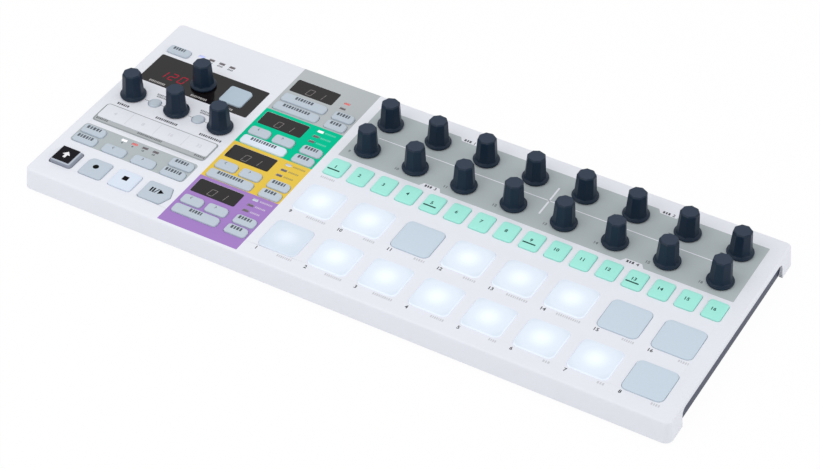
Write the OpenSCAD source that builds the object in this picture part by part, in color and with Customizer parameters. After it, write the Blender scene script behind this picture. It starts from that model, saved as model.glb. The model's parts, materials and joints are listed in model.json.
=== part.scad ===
// Desktop step sequencer: a moulded cover over a folded steel pan, with knobs on rotary encoders,
// lit step keys, a mat of pressure pads, function keys, display windows and a touch strip.
// Millimetres, +Z up, +X to the player's right, +Y to the back. The origin is under the middle of the feet.

/* [Case] */
// Gap from the case's left side to the left section
side_margin = 8.4; // [7.6:0.1:12]
// Gap from the right field to the case's right side
right_margin = 10.9; // [10.6:0.1:14]
// Gap from the front row of pads to the case's front
front_margin = 13.1; // [12.6:0.1:16]
// Gap from the transport keys to the case's front
transport_margin = 13.4; // [12.6:0.1:16]
// Gap from the knob panel to the case's back
back_margin = 12; // [11.5:0.1:15]
// Gap between the left section and the coloured column
section_gap = 4.8; // [4:0.1:8]
// Gap between the coloured column and the right field
field_gap = 6.2; // [6:0.1:10]
// Height of the cover from its lower edge to its top face
cover_h = 13.6; // [13.6:0.1:16]
// Thickness of the cover's top plate
plate_t = 2.5; // [2.2:0.1:2.5]
// Thickness of the cover's walls
wall_t = 2.2; // [2:0.1:2.6]
// How far the cover's walls lean in from the bottom to the rounded edge
lean = 1.3; // [0.5:0.1:1.4]
// Radius of the cover's upright corners at the bottom
corner_r = 5; // [4.5:0.1:8]
// Radius of the cover's top edge
edge_r = 1.5; // [0.6:0.1:2]
// Height of the lip over the side and rear openings
lip_h = 2.6; // [2.6:0.1:4]
// Length of the corner legs along the sides and the rear
leg_l = 16.3; // [14:0.1:24]
// Radius where a leg meets the lip
leg_r = 4; // [2:0.5:6]
// Thickness of the base pan's sheet
pan_t = 1.2; // [0.8:0.1:2]
// Gap between the pan and the cover's walls
pan_gap = 0.4; // [0.3:0.05:0.6]
// Thickness of the rear closing plates
rear_panel_t = 1.5; // [1:0.1:2]
// Height of the rubber feet
foot_h = 2; // [1.5:0.1:4]
// Diameter of the rubber feet
foot_d = 14; // [8:0.5:14.5]
// How much narrower the feet are at the bottom
foot_taper = 0.8; // [0:0.1:2]
// Distance of the feet from the pan's edges
foot_inset = 16; // [16:0.5:30]

/* [Left section] */
// Width of the left section
left_w = 79.5; // [78:0.1:84]
// Step between the four key columns
left_pitch = 20.65; // [19:0.05:21]
// Width of the left section's small keys
left_key_w = 15.4; // [12:0.1:16]
// Depth of the left section's small keys
left_key_d = 7.2; // [6:0.1:7.2]
// Step between the two rows of link keys
link_pitch = 8.9; // [8.9:0.1:10.5]
// Gap between the transport keys and the front row of link keys
link_gap = 7.8; // [6:0.1:9]
// Depth of the transport keys
transport_d = 15.1; // [12:0.1:17]
// Length of the play key's point
play_tip = 2.9; // [1:0.1:3.5]
// Distance from the rear row of link keys to the middle of the touch strip
strip_lift = 18; // [17.5:0.1:22]
// Depth of the touch strip
strip_d = 18; // [12:0.1:19]
// Depth of the touch strip's touch area
touch_d = 12.8; // [8:0.1:14]
// Distance from the touch strip to the row of three knobs
groove_lift = 22.5; // [19:0.1:25]
// Step between the three knobs of that row
groove_pitch = 31; // [29:0.1:31.5]
// Diameter of the round keys between those knobs
round_key_d = 7.8; // [5:0.1:9]
// Distance from that row of knobs to the middle of the tempo window
tempo_lift = 29.2; // [27:0.1:32]
// Depth of the tempo window
tempo_d = 27.7; // [22:0.1:30]
// Width of the tempo window
tempo_w = 77.8; // [74:0.1:79]
// Distance from the middle of the tempo window to the tap key
tap_x = 23.3; // [20:0.1:26]
// Size of the square tap key
tap_size = 15.7; // [10:0.1:17]
// Distance from the middle of the tempo window to the sync key
sync_lift = 20.3; // [18:0.1:24]
// Width of the tempo digits' opening
digits_w = 26; // [18:0.1:26]
// Depth of the tempo digits' opening
digits_d = 12; // [8:0.1:14]
// Distance of the tempo digits from the middle of the window
digits_x = 19; // [18.5:0.1:21]
// Step between the indicators of a row
lens_pitch = 7.4; // [5:0.1:7.6]
// Distance of the upper indicators from the sync key's row
sync_lens_y = 3.1; // [2:0.1:5]
// Distance of the first upper indicator from the section's middle
sync_lens_x = 16.6; // [15:0.1:18]
// Distance of the lower indicators from the rear row of link keys
link_lens_y = 2.4; // [2:0.1:3.4]
// Distance of the first lower indicator from the section's middle
link_lens_x = 11.1; // [10:0.1:12]
// Corner radius of the touch strip
strip_r = 2.5; // [1.8:0.1:4]
// How far the touch area stands over its frame
touch_rise = 0.3; // [0.1:0.1:1]
// Width of the frame round the touch area
touch_rim = 0.9; // [0.5:0.1:1.5]

/* [Coloured column] */
// Width of the coloured column
column_w = 53.2; // [52:0.1:58]
// Distance from the case's front to the top of the front track section
column_foot = 47.8; // [44:0.1:49]
// Step between the track sections
section_pitch = 35.85; // [35:0.05:38]
// Width of the small keys
small_key_w = 13.7; // [10:0.1:14]
// Depth of the small keys
small_key_d = 7.3; // [5:0.1:7.3]
// Width of the wide keys
wide_key_w = 30.1; // [26:0.1:31]
// Distance from a section's top to its rear row of keys
key_row = 22.5; // [21.5:0.1:24]
// Step between a section's two rows of keys
key_pitch = 9.1; // [9:0.1:10]
// Width of the display windows
window_w = 30; // [24:0.1:31]
// Depth of the display windows
window_d = 12.4; // [9:0.1:13]
// Distance from a section's top to the middle of its window
window_row = 8.75; // [8:0.05:10]
// Distance from the column's left edge to the middle of the windows
window_mid = 17.2; // [16:0.1:18]
// Gap from the column's left edge to its keys
keys_left = 2.6; // [1.5:0.1:4]
// Gap from the column's right edge to its keys
keys_right = 1.4; // [1.2:0.1:3]
// Distance from the column's left edge to its indicators
column_lens_x = 39.7; // [36:0.1:42]
// Distance from a section's top to its first indicator
column_lens_y = 3.5; // [2.5:0.1:4.5]
// Step between the column's indicators
column_lens_pitch = 5.2; // [4:0.1:5.5]
// How far the project section's keys stand behind the step of the others
project_rise = 0.7; // [0:0.1:1]

/* [Right field] */
// Step between the columns of pads and knobs
pad_pitch_x = 32.15; // [31:0.05:36]
// Step between the rows of pads
pad_pitch_y = 36; // [33:0.1:40]
// Width of a pad
pad_w = 24.2; // [20:0.1:26]
// Depth of a pad
pad_d = 24.3; // [20:0.1:28]
// Gap between the rear pads and the step keys
step_gap = 11.1; // [8:0.1:14]
// Step between the step keys
step_pitch = 15.95; // [15:0.05:16.5]
// Width of a step key
step_w = 11.4; // [9:0.1:12.5]
// Depth of a step key
step_d = 14.8; // [12:0.1:18]
// Gap between the step keys and the knob panel
panel_gap = 3.7; // [2:0.1:6]
// Distance from the knob panel's front and back edges to the knob rows
knob_edge = 11.7; // [10:0.1:15]
// Distance from the knob panel's sides to the outer knobs
knob_side = 13.075; // [12.5:0.025:16]
// Step between the two knob rows
knob_row_pitch = 27.2; // [24:0.1:32]

/* [Keys] */
// How far keys stand over the cover
key_rise = 1.1; // [0.8:0.1:2.5]
// How far the pads stand over the cover
pad_rise = 0.9; // [0.7:0.1:2]
// How far the shift key stands over the cover
shift_rise = 2.7; // [2:0.1:4]
// Height of the shift key's sloped flanks
shift_slope_h = 2.2; // [0.5:0.1:2.4]
// How far the shift key's flanks slope in
shift_slope = 1.7; // [0.4:0.1:2]
// How far keys travel
key_travel = 1; // [0.5:0.1:1.2]
// How far the pads give
pad_travel = 0.6; // [0.3:0.1:0.8]
// Gap all round a key in its opening
key_gap = 0.35; // [0.3:0.05:0.45]
// How far a key's retaining flange reaches past its cap
flange_lip = 0.7; // [0.6:0.05:0.7]
// Thickness of a key's retaining flange
flange_t = 1; // [0.8:0.1:1.4]
// Chamfer round a key's top face
key_chamfer = 0.4; // [0.2:0.1:0.8]
// Corner radius of a key
key_r = 1.8; // [0.6:0.1:2.5]
// Larger radius at the right rear corner of a small key
key_big_r = 3; // [1:0.1:3.2]
// Larger radius at the left rear corner of the record key
record_r = 4; // [1:0.1:4]
// Corner radius of a pad
pad_r = 3.6; // [1:0.1:5]

/* [Knobs] */
// Height of a knob
knob_h = 16.5; // [14:0.1:20]
// Radius of a knob's round flange
flange_r = 8; // [7.2:0.1:9]
// Height of the flange's rim
rim_h = 1.5; // [1:0.1:2.5]
// Radius of the flange's edge
rim_r = 0.6; // [0.3:0.1:0.8]
// Radius of a knob's grip where it leaves the flange
grip_r = 6.7; // [6:0.1:7]
// Radius of a knob's grip at its top
grip_top_r = 5.7; // [4.8:0.1:6]
// Number of flats round the grip
grip_flats = 8; // [6:1:12]
// Height at which the flare from the flange ends
flare_h = 5; // [4:0.1:6.5]
// Chamfer at the top of the grip
grip_chamfer = 0.9; // [0.4:0.1:1.5]
// Radius of the spindle
spindle_r = 2.9; // [2:0.05:3.2]
// Running gap of the spindle in its bush
spindle_gap = 0.15; // [0.1:0.01:0.3]
// Gap between a knob and what lies under it
knob_gap = 0.3; // [0.25:0.05:0.8]
// Wall of the encoder's bush
bush_t = 0.7; // [0.4:0.05:1]
// How far the bush stands over the cover
bush_rise = 0.2; // [0.1:0.05:0.5]
// How far each knob is turned past the one before it, in degrees
knob_turn = 17; // [0:1:44]
// Side of the encoder's square body
encoder_w = 11.6; // [10:0.1:12.5]
// Thickness of the encoder's floor under the spindle
encoder_floor = 2; // [1:0.1:2.5]

/* [Inside] */
// Gap between neighbouring parts of the case
seat_gap = 0.3; // [0.2:0.05:0.4]
// Height of the board's top over the cover's lower edge
board_z = 4.6; // [4.4:0.1:4.8]
// Thickness of the board
board_t = 1.6; // [1:0.1:2]
// Thickness of the display windows
window_t = 1; // [0.6:0.1:1.2]
// Corner radius of the display windows
window_r = 1; // [0.5:0.1:2]
// Rim that carries a window round its opening
window_ledge = 1.2; // [0.8:0.1:2]
// Gap round the windows and the touch strip
window_gap = 0.15; // [0.1:0.05:0.3]
// Width of an indicator lens
lens_w = 3.7; // [2:0.1:4]
// Depth of an indicator lens
lens_d = 1.8; // [1:0.1:2]
// Radius of the case screws' shanks
screw_r = 1.25; // [1:0.05:1.4]
// Radius of the case screws' heads
screw_head_r = 2.4; // [2.2:0.1:3]
// Height of the case screws' heads
screw_head_h = 1.1; // [0.8:0.1:1.4]
// Gap round a screw in the holes that it passes
screw_gap = 0.2; // [0.1:0.05:0.3]
// Wall of the spacers and standoffs round the screws
boss_t = 1.1; // [0.8:0.1:1.1]
// Distance of the outer screws from the case's sides
screw_side = 9; // [8:0.1:12]
// Distance of the front screws from the case's front
screw_front = 6.7; // [6.6:0.1:7]
// Distance of the rear screws from the case's back
screw_rear = 17.4; // [17:0.1:18]
// Width of the screws' slots
screw_slot = 0.6; // [0.4:0.1:1]

/* [Sockets] */
// Bore radius of the jack sockets
jack_r = 1.8; // [1.7:0.05:2]
// Depth of a jack's bore
jack_l = 9; // [7:0.1:9]
// Thickness of a jack's body behind its bore
jack_back = 1.5; // [1:0.1:2]
// Height of a jack's body
jack_h = 6; // [5.6:0.1:6]
// Step between the jacks
jack_pitch = 12.8; // [12:0.1:13]
// Number of jacks
jack_count = 18; // [8:1:18]
// How far the row of jacks stands to the left of the field's middle
jack_shift = 4; // [3:0.5:10]
// Width of the data socket's mouth
usb_w = 7.2; // [6:0.1:9]
// Height of the data socket's mouth
usb_h = 2.6; // [1.8:0.1:3]
// Wall of the data socket's shell
usb_t = 0.4; // [0.3:0.05:0.6]
// Room round the data socket in its notch
usb_room = 0.9; // [0.7:0.1:1.5]
// Depth of the data socket
usb_l = 6; // [5:0.1:8]
// How far the data socket's tongue stands back from its mouth
tongue_back = 1.6; // [0.8:0.1:2]

/* [Hidden] */
$fn = 48;
columns = 8;
steps = 16;
tracks = 3;
// Segments in a rounded corner
arc_steps = 4;
// Overrun of a cut past the face that it opens
over = 1;

field_w = (columns - 1) * pad_pitch_x + 2 * knob_side;
case_w = side_margin + left_w + section_gap + column_w + field_gap + field_w + right_margin;
case_d = front_margin + pad_d + pad_pitch_y + step_gap + step_d + panel_gap + 2 * knob_edge
       + knob_row_pitch + back_margin;
top_z = foot_h + cover_h;
plate_z = top_z - plate_t;
board_top = foot_h + board_z;

// Places across, from the left
left_x = -case_w / 2 + side_margin;
left_mid = left_x + left_w / 2;
column_x = left_x + left_w + section_gap;
field_x = column_x + column_w + field_gap;
field_mid = field_x + field_w / 2;
function left_col(k) = left_mid + (k - 1.5) * left_pitch;
function field_col(k) = field_mid + (k - (columns - 1) / 2) * pad_pitch_x;
function step_x(k) = field_mid + (k - (steps - 1) / 2) * step_pitch;

// Places from front to back
front_y = -case_d / 2 + front_margin;
function pad_row(k) = front_y + pad_d / 2 + k * pad_pitch_y;
step_y = pad_row(1) + pad_d / 2 + step_gap + step_d / 2;
function knob_row(k) = step_y + step_d / 2 + panel_gap + knob_edge + k * knob_row_pitch;
transport_front = -case_d / 2 + transport_margin;
transport_y = transport_front + transport_d / 2;
function link_row(k) = transport_front + transport_d + link_gap + left_key_d / 2 + k * link_pitch;
strip_y = link_row(1) + strip_lift;
groove_y = strip_y + groove_lift;
tempo_y = groove_y + tempo_lift;
sync_y = tempo_y + sync_lift;
function section_top(k) = -case_d / 2 + column_foot + k * section_pitch;
function section_row(k, row) = section_top(k) - key_row - row * key_pitch;

// Places across the coloured column, from its left edge
small_left_x = column_x + keys_left + small_key_w / 2;
wide_x = column_x + keys_left + wide_key_w / 2;
small_mid_x = column_x + keys_left + wide_key_w - small_key_w / 2;
small_right_x = column_x + column_w - keys_right - small_key_w / 2;
window_x = column_x + window_mid;
lens_x = column_x + column_lens_x;

// Knob places: tempo, the row of three, then the field from the rear left to the front right
groove_spots = [for (k = [-1:1]) [left_mid + k * groove_pitch, groove_y]];
field_spots = [for (row = [1:-1:0], k = [0:columns - 1]) [field_col(k), knob_row(row)]];
knob_spots = concat([[left_mid, tempo_y]], groove_spots, field_spots);

// Keys as [place, width, depth]
link_keys = [
    for (k = [0, 3], row = [0, 1]) [[left_col(k), link_row(row)], left_key_w, left_key_d],
    for (k = [1, 2]) [[left_col(k), link_row(0)], left_key_w, left_key_d]
];
sync_key = [[left_col(0), sync_y], left_key_w, left_key_d];
round_spots = [for (k = [-0.5, 0.5]) [left_mid + k * groove_pitch, groove_y]];
project_keys_at = [
    for (row = [0, 1]) each [
        [[wide_x, section_row(tracks, row) + project_rise], wide_key_w, small_key_d],
        [[small_right_x, section_row(tracks, row) + project_rise], small_key_w, small_key_d]
    ]
];
function track_keys_at(k) = [
    [[small_left_x, section_row(k, 0)], small_key_w, small_key_d],
    [[small_mid_x, section_row(k, 0)], small_key_w, small_key_d],
    [[small_right_x, section_row(k, 0)], small_key_w, small_key_d],
    [[wide_x, section_row(k, 1)], wide_key_w, small_key_d],
    [[small_right_x, section_row(k, 1)], small_key_w, small_key_d]
];
all_small_keys = concat(
    link_keys,
    [sync_key],
    project_keys_at,
    [for (k = [0:tracks - 1]) each track_keys_at(k)]
);

// Windows as [place, width, depth]
tempo_window = [[left_mid, tempo_y], tempo_w, tempo_d];
track_windows = [for (k = [0:tracks]) [[window_x, section_top(k) - window_row], window_w, window_d]];
digits_at = [left_mid - digits_x, tempo_y];
displays = concat([[digits_at, digits_w, digits_d]], [for (w = track_windows)
    [w[0], w[1] - 2 * window_ledge, w[2] - 2 * window_ledge]]);

// Indicator lenses
lens_spots = concat(
    [for (k = [0:3]) [left_mid - sync_lens_x + lens_pitch * k, sync_y + sync_lens_y]],
    [for (k = [0:3]) [left_mid - link_lens_x + lens_pitch * k, link_row(1) + link_lens_y]],
    [for (k = [0, 1]) [lens_x, section_top(tracks) - window_row - column_lens_pitch * k]],
    [for (t = [0:tracks - 1], k = [0:2]) [lens_x, section_top(t) - column_lens_y - column_lens_pitch * k]]
);

// Case screws and the spacers that take them
screw_bore_r = screw_r + screw_gap / 2;
boss_r = screw_bore_r + boss_t;
screw_xs = [-case_w / 2 + screw_side, field_x - field_gap / 2, field_mid, case_w / 2 - screw_side];
screw_ys = [-case_d / 2 + screw_front, case_d / 2 - screw_rear];
screw_spots = [for (x = screw_xs, y = screw_ys) [x, y]];

// The pan, and the sockets in its open rear
pan_w = case_w - 2 * (wall_t + pan_gap);
pan_d = case_d - 2 * (wall_t + pan_gap);
pan_r = max(corner_r - wall_t - pan_gap, 0.5);
rear_y = pan_d / 2;
jack_front = rear_y - seat_gap;
jack_w = jack_pitch - seat_gap;
jack_mid = field_mid - jack_shift;
jack_xs = [for (k = [0:jack_count - 1]) jack_mid + (k - (jack_count - 1) / 2) * jack_pitch];
jack_row_w = (jack_count - 1) * jack_pitch + jack_w;
usb_x = window_x - window_w / 2;

// Flange of the keys, under the plate
flange_top = plate_z - seat_gap;
flange_z = flange_top - flange_t;

// Knobs, spindles and encoders
bush_top = top_z + bush_rise;
knob_z = bush_top + knob_gap;
bush_r = spindle_r + spindle_gap + bush_t;
encoder_top = plate_z - seat_gap;
spindle_end = board_top + encoder_floor;

function unit(v) = v / norm(v);

// Outline with each corner turned into an arc of its own radius
function rounded(points, radii) = [
    for (i = [0:len(points) - 1])
        let (
            n = len(points),
            p = points[i],
            u = unit(points[(i + n - 1) % n] - p),
            v = unit(points[(i + 1) % n] - p),
            half = acos(u * v) / 2,
            c = p + unit(u + v) * radii[i] / sin(half),
            s = p + u * radii[i] / tan(half) - c,
            e = p + v * radii[i] / tan(half) - c,
            a = atan2(s[1], s[0]),
            sweep = (atan2(e[1], e[0]) - a + 540) % 360 - 180
        )
        for (k = [0:arc_steps])
            c + radii[i] * [cos(a + sweep * k / arc_steps), sin(a + sweep * k / arc_steps)]
];

// Rectangle round the origin, with its rear corners' radii apart: the right one, and the left one where given
function soft_rect(w, d, r, big_r, left_r = undef) = rounded(
    [[w / 2, d / 2], [-w / 2, d / 2], [-w / 2, -d / 2], [w / 2, -d / 2]],
    [big_r, is_undef(left_r) ? r : left_r, r, r]);

// Rectangle with a point on its right side
function pointed_rect(w, d, tip, r) = rounded(
    [[w / 2, d / 2], [-w / 2, d / 2], [-w / 2, -d / 2], [w / 2, -d / 2], [w / 2 + tip, 0]], [r, r, r, r, r]);

// Points of a quarter turn round a centre, starting at angle a
function quarter(c, r, a) = [
    for (k = [0:arc_steps]) c + r * [cos(a + 90 * k / arc_steps), sin(a + 90 * k / arc_steps)]
];

// Upright prism between two heights
module prism(outline, z0, z1) {
    translate([0, 0, z0]) linear_extrude(z1 - z0) polygon(outline);
}

// Block with leaning walls, round corners and a round top edge, standing on z = 0
module soft_block(w, d, h, r, e, a) {
    function ridge(span) = concat([[-span / 2, 0], [span / 2, 0]],
        quarter([span / 2 - a - e, h - e], e, 0), quarter([-span / 2 + a + e, h - e], e, 90));
    translate([0, d / 2 - r, 0]) rotate([90, 0, 0]) linear_extrude(d - 2 * r) polygon(ridge(w));
    translate([-(w / 2 - r), 0, 0]) rotate([90, 0, 90]) linear_extrude(w - 2 * r) polygon(ridge(d));
    for (x = [-1, 1], y = [-1, 1]) translate([x * (w / 2 - r), y * (d / 2 - r), 0])
        rotate_extrude() polygon(concat([[0, 0], [r, 0]], quarter([r - a - e, h - e], e, 0), [[0, h]]));
}

// Arched opening of a given span and height, cut outwards along +Y through a wall
module arch(span, h) {
    rotate([90, 0, 0]) linear_extrude(wall_t + 2 * over, center = true) polygon(rounded(
        [[span / 2, h], [-span / 2, h], [-span / 2, -over], [span / 2, -over]], [leg_r, leg_r, 0.01, 0.01]));
}

// Top of a cap that ends at height z, drawn in over a given height
module tapered_top(outline, z, h, inset, w, d) {
    translate([0, 0, z - h])
        linear_extrude(h, scale = [1 - 2 * inset / w, 1 - 2 * inset / d], slices = 1, segments = 1)
            polygon(outline);
}

// Foot that reaches down from a key's flange and stops over the board by its travel
module foot(w, d, travel) {
    z = board_top + travel + seat_gap;
    translate([-w / 2, -d / 2, z]) cube([w, d, flange_z - z]);
}

// Key: a cap over a retaining flange, on a foot half as wide. Its bevel is the height and the inset of the
// drawn-in top.
module key(outline, flange_outline, rise, w, d, bevel) {
    cap_top = top_z + rise;
    prism(outline, flange_z, cap_top - bevel[0]);
    tapered_top(outline, cap_top, bevel[0], bevel[1], w, d);
    prism(flange_outline, flange_z, flange_top);
    foot(w / 2, d / 2, key_travel);
}

key_bevel = [key_chamfer, key_chamfer];

module rect_key(at, w, d, rise, big_r, left_r = key_r, bevel = key_bevel) {
    translate(at) key(soft_rect(w, d, key_r, big_r, left_r),
        soft_rect(w + 2 * flange_lip, d + 2 * flange_lip, key_r, key_r), rise, w, d, bevel);
}

module small_keys(list) {
    for (k = list) rect_key(k[0], k[1], k[2], key_rise, key_big_r);
}

// Round key, its edge rounded over all its rise
module round_key(at) {
    r = round_key_d / 2;
    cap_top = top_z + key_rise;
    translate(at) {
        rotate_extrude() polygon(concat([[0, flange_z], [r, flange_z]],
            quarter([r - key_rise, top_z], key_rise, 0), [[0, cap_top]]));
        translate([0, 0, flange_z]) cylinder(r = r + flange_lip, h = flange_t);
    }
}

// Openings of the keys in the cover
module key_openings() {
    g = 2 * key_gap;
    module hole(at, w, d, big_r, left_r = key_r, front_r = key_r) {
        translate(at) prism(soft_rect(w + g, d + g, front_r + key_gap, big_r + key_gap, left_r + key_gap),
            plate_z - over, top_z + over);
    }
    for (k = all_small_keys) hole(k[0], k[1], k[2], key_big_r);
    for (k = [0, 2]) hole([left_col(k), transport_y], left_key_w, transport_d, key_r);
    hole([left_col(1), transport_y], left_key_w, transport_d, key_r, record_r);
    translate([left_col(3), transport_y])
        prism(pointed_rect(left_key_w + g, transport_d + g, play_tip, key_r), plate_z - over, top_z + over);
    hole([left_mid + tap_x, tempo_y], tap_size, tap_size, key_big_r);
    for (k = [0:steps - 1]) hole([step_x(k), step_y], step_w, step_d, key_r);
    for (row = [0, 1], k = [0:columns - 1])
        hole([field_col(k), pad_row(row)], pad_w, pad_d, pad_r, pad_r, pad_r);
    for (at = round_spots) translate([at[0], at[1], plate_z - over])
        cylinder(r = round_key_d / 2 + key_gap, h = plate_t + 2 * over);
}

// Pockets and openings of the windows, the strip and the lenses in the cover
module trim_openings() {
    module pocket(at, w, d, r) {
        translate(at) prism(soft_rect(w, d, r, r), top_z - window_t, top_z + over);
    }
    for (w = concat([tempo_window], track_windows)) pocket(w[0], w[1], w[2], window_r);
    pocket([left_mid, strip_y], left_w, strip_d, strip_r);
    for (s = displays) translate([s[0][0] - s[1] / 2, s[0][1] - s[2] / 2, plate_z - over])
        cube([s[1], s[2], plate_t]);
    for (at = lens_spots)
        translate([at[0] - lens_w / 2 - window_gap, at[1] - lens_d / 2 - window_gap, plate_z - over])
            cube([lens_w + 2 * window_gap, lens_d + 2 * window_gap, plate_t + 2 * over]);
}

module top_cover() color("whitesmoke") {
    side_span = case_d - 2 * leg_l;
    rear_span = case_w - 2 * leg_l;
    arch_h = cover_h - lip_h;
    inner_r = max(corner_r - wall_t, 0.5);
    difference() {
        translate([0, 0, foot_h]) soft_block(case_w, case_d, cover_h, corner_r, edge_r, lean);
        prism(soft_rect(case_w - 2 * wall_t, case_d - 2 * wall_t, inner_r, inner_r), foot_h - over, plate_z);
        for (x = [-1, 1]) translate([x * (case_w - wall_t) / 2, 0, foot_h]) rotate([0, 0, 90])
            arch(side_span, arch_h);
        translate([0, (case_d - wall_t) / 2, foot_h]) arch(rear_span, arch_h);
        key_openings();
        trim_openings();
        for (at = knob_spots) translate([at[0], at[1], plate_z - over])
            cylinder(r = bush_r + seat_gap, h = plate_t + 2 * over);
    }
}

module base_pan() color("dimgray") {
    flange_h = plate_z - seat_gap - foot_h;
    inner_r = max(pan_r - pan_t, 0.3);
    difference() {
        union() {
            difference() {
                prism(soft_rect(pan_w, pan_d, pan_r, pan_r), foot_h, foot_h + flange_h);
                prism(soft_rect(pan_w - 2 * pan_t, pan_d - 2 * pan_t, inner_r, inner_r),
                    foot_h + pan_t, foot_h + flange_h + over);
                // The rear flange stops under the board's top, so the sockets stand free over it
                translate([-pan_w / 2 - over, rear_y - pan_r - rear_panel_t - seat_gap, board_top - seat_gap])
                    cube([pan_w + 2 * over, pan_d, flange_h]);
            }
            for (at = screw_spots) translate([at[0], at[1], foot_h])
                cylinder(r = boss_r, h = board_z - board_t);
        }
        for (at = screw_spots) translate([at[0], at[1], foot_h - over])
            cylinder(r = screw_r + screw_gap, h = board_z + 2 * over);
    }
}

// Plates that close the rear to the left and to the right of the jacks, with a notch for the data socket
module rear_panel() color("dimgray") {
    side = pan_w / 2 - pan_r;
    h = plate_z - seat_gap - board_top;
    jack_left = jack_mid - jack_row_w / 2 - seat_gap;
    jack_right = jack_mid + jack_row_w / 2 + seat_gap;
    difference() {
        translate([-side, rear_y - rear_panel_t, board_top]) cube([side + jack_left, rear_panel_t, h]);
        translate([usb_x - usb_w / 2 - usb_room, rear_y - rear_panel_t - over, board_top - over])
            cube([usb_w + 2 * usb_room, rear_panel_t + 2 * over, over + usb_h + 2 * usb_t + usb_room]);
    }
    translate([jack_right, rear_y - rear_panel_t, board_top]) cube([side - jack_right, rear_panel_t, h]);
}

module rubber_feet() color("black") {
    for (x = [-1, 1], y = [-1, 1]) translate([x * (pan_w / 2 - foot_inset), y * (pan_d / 2 - foot_inset), 0])
        rotate_extrude() polygon([[0, 0], [foot_d / 2 - foot_taper, 0], [foot_d / 2, foot_h], [0, foot_h]]);
}

// Screws from below, and the threaded spacers between the board and the cover that they draw up
module case_fasteners() color("silver") {
    for (at = screw_spots) translate([at[0], at[1], 0]) {
        difference() {
            union() {
                translate([0, 0, foot_h - screw_head_h]) cylinder(r = screw_head_r, h = screw_head_h);
                translate([0, 0, foot_h]) cylinder(r = screw_r, h = plate_z - plate_t - foot_h);
            }
            translate([-screw_head_r, -screw_slot / 2, foot_h - screw_head_h - over])
                cube([2 * screw_head_r, screw_slot, over + screw_head_h / 2]);
        }
        translate([0, 0, board_top]) difference() {
            cylinder(r = boss_r, h = plate_z - board_top);
            translate([0, 0, -over]) cylinder(r = screw_bore_r, h = plate_z - board_top + 2 * over);
        }
    }
}

module main_board() color("darkgreen") {
    w = pan_w - 2 * (pan_t + seat_gap);
    d = pan_d - 2 * (pan_t + seat_gap);
    difference() {
        prism(soft_rect(w, d, pan_r, pan_r), board_top - board_t, board_top);
        for (at = screw_spots) translate([at[0], at[1], board_top - board_t - over])
            cylinder(r = screw_r + screw_gap, h = board_t + 2 * over);
    }
}

module encoder_bodies() color("silver") {
    for (at = knob_spots) translate([at[0], at[1], 0]) difference() {
        union() {
            translate([-encoder_w / 2, -encoder_w / 2, board_top])
                cube([encoder_w, encoder_w, encoder_top - board_top]);
            translate([0, 0, board_top]) cylinder(r = bush_r, h = bush_top - board_top);
        }
        translate([0, 0, spindle_end - seat_gap]) cylinder(r = spindle_r + spindle_gap, h = knob_z);
    }
}

module display_modules() color("black") {
    for (s = displays) translate([s[0][0] - s[1] / 2 + seat_gap, s[0][1] - s[2] / 2 + seat_gap, board_top])
        cube([s[1] - 2 * seat_gap, s[2] - 2 * seat_gap, top_z - window_t - seat_gap - board_top]);
}

module display_windows() color("black") {
    g = 2 * window_gap;
    tap_hole = tap_size + 2 * key_gap;
    for (w = track_windows) translate(w[0])
        prism(soft_rect(w[1] - g, w[2] - g, window_r, window_r), top_z - window_t, top_z);
    difference() {
        translate(tempo_window[0])
            prism(soft_rect(tempo_w - g, tempo_d - g, window_r, window_r), top_z - window_t, top_z);
        translate([left_mid, tempo_y, top_z - window_t - over])
            cylinder(r = bush_r + seat_gap, h = window_t + 2 * over);
        translate([left_mid + tap_x, tempo_y])
            prism(soft_rect(tap_hole, tap_hole, key_r, key_big_r), plate_z, top_z + over);
    }
}

module light_pipes() color("white") {
    for (at = lens_spots) translate([at[0] - lens_w / 2, at[1] - lens_d / 2, plate_z])
        cube([lens_w, lens_d, plate_t]);
}

module touch_strip() color("gainsboro") {
    w = left_w - 2 * window_gap;
    d = strip_d - 2 * window_gap;
    z = top_z - window_t;
    touch_r = strip_r - touch_rim;
    translate([left_mid, strip_y]) {
        prism(soft_rect(w, d, strip_r, strip_r), z, top_z);
        translate([0, (strip_d - touch_d) / 2 - touch_rim])
            prism(soft_rect(w - 2 * touch_rim, touch_d, touch_r, touch_r), z, top_z + touch_rise);
    }
}

module jack_sockets() color("dimgray") {
    l = jack_l + jack_back;
    for (x = jack_xs) translate([x, jack_front, board_top]) difference() {
        translate([-jack_w / 2, -l, 0]) cube([jack_w, l, jack_h]);
        translate([0, over, jack_h / 2]) rotate([90, 0, 0]) cylinder(r = jack_r, h = jack_l + over);
    }
}

module usb_socket() color("silver") {
    w = usb_w + 2 * usb_t;
    h = usb_h + 2 * usb_t;
    tongue_t = usb_h / 3;
    translate([usb_x, jack_front, board_top]) {
        difference() {
            translate([-w / 2, -usb_l, 0]) cube([w, usb_l, h]);
            translate([-usb_w / 2, -usb_l + usb_t, usb_t]) cube([usb_w, usb_l + over, usb_h]);
        }
        translate([-usb_w / 4, -usb_l + usb_t, usb_t + usb_h / 2])
            cube([usb_w / 2, usb_l - usb_t - tongue_back, tongue_t]);
    }
}

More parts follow.
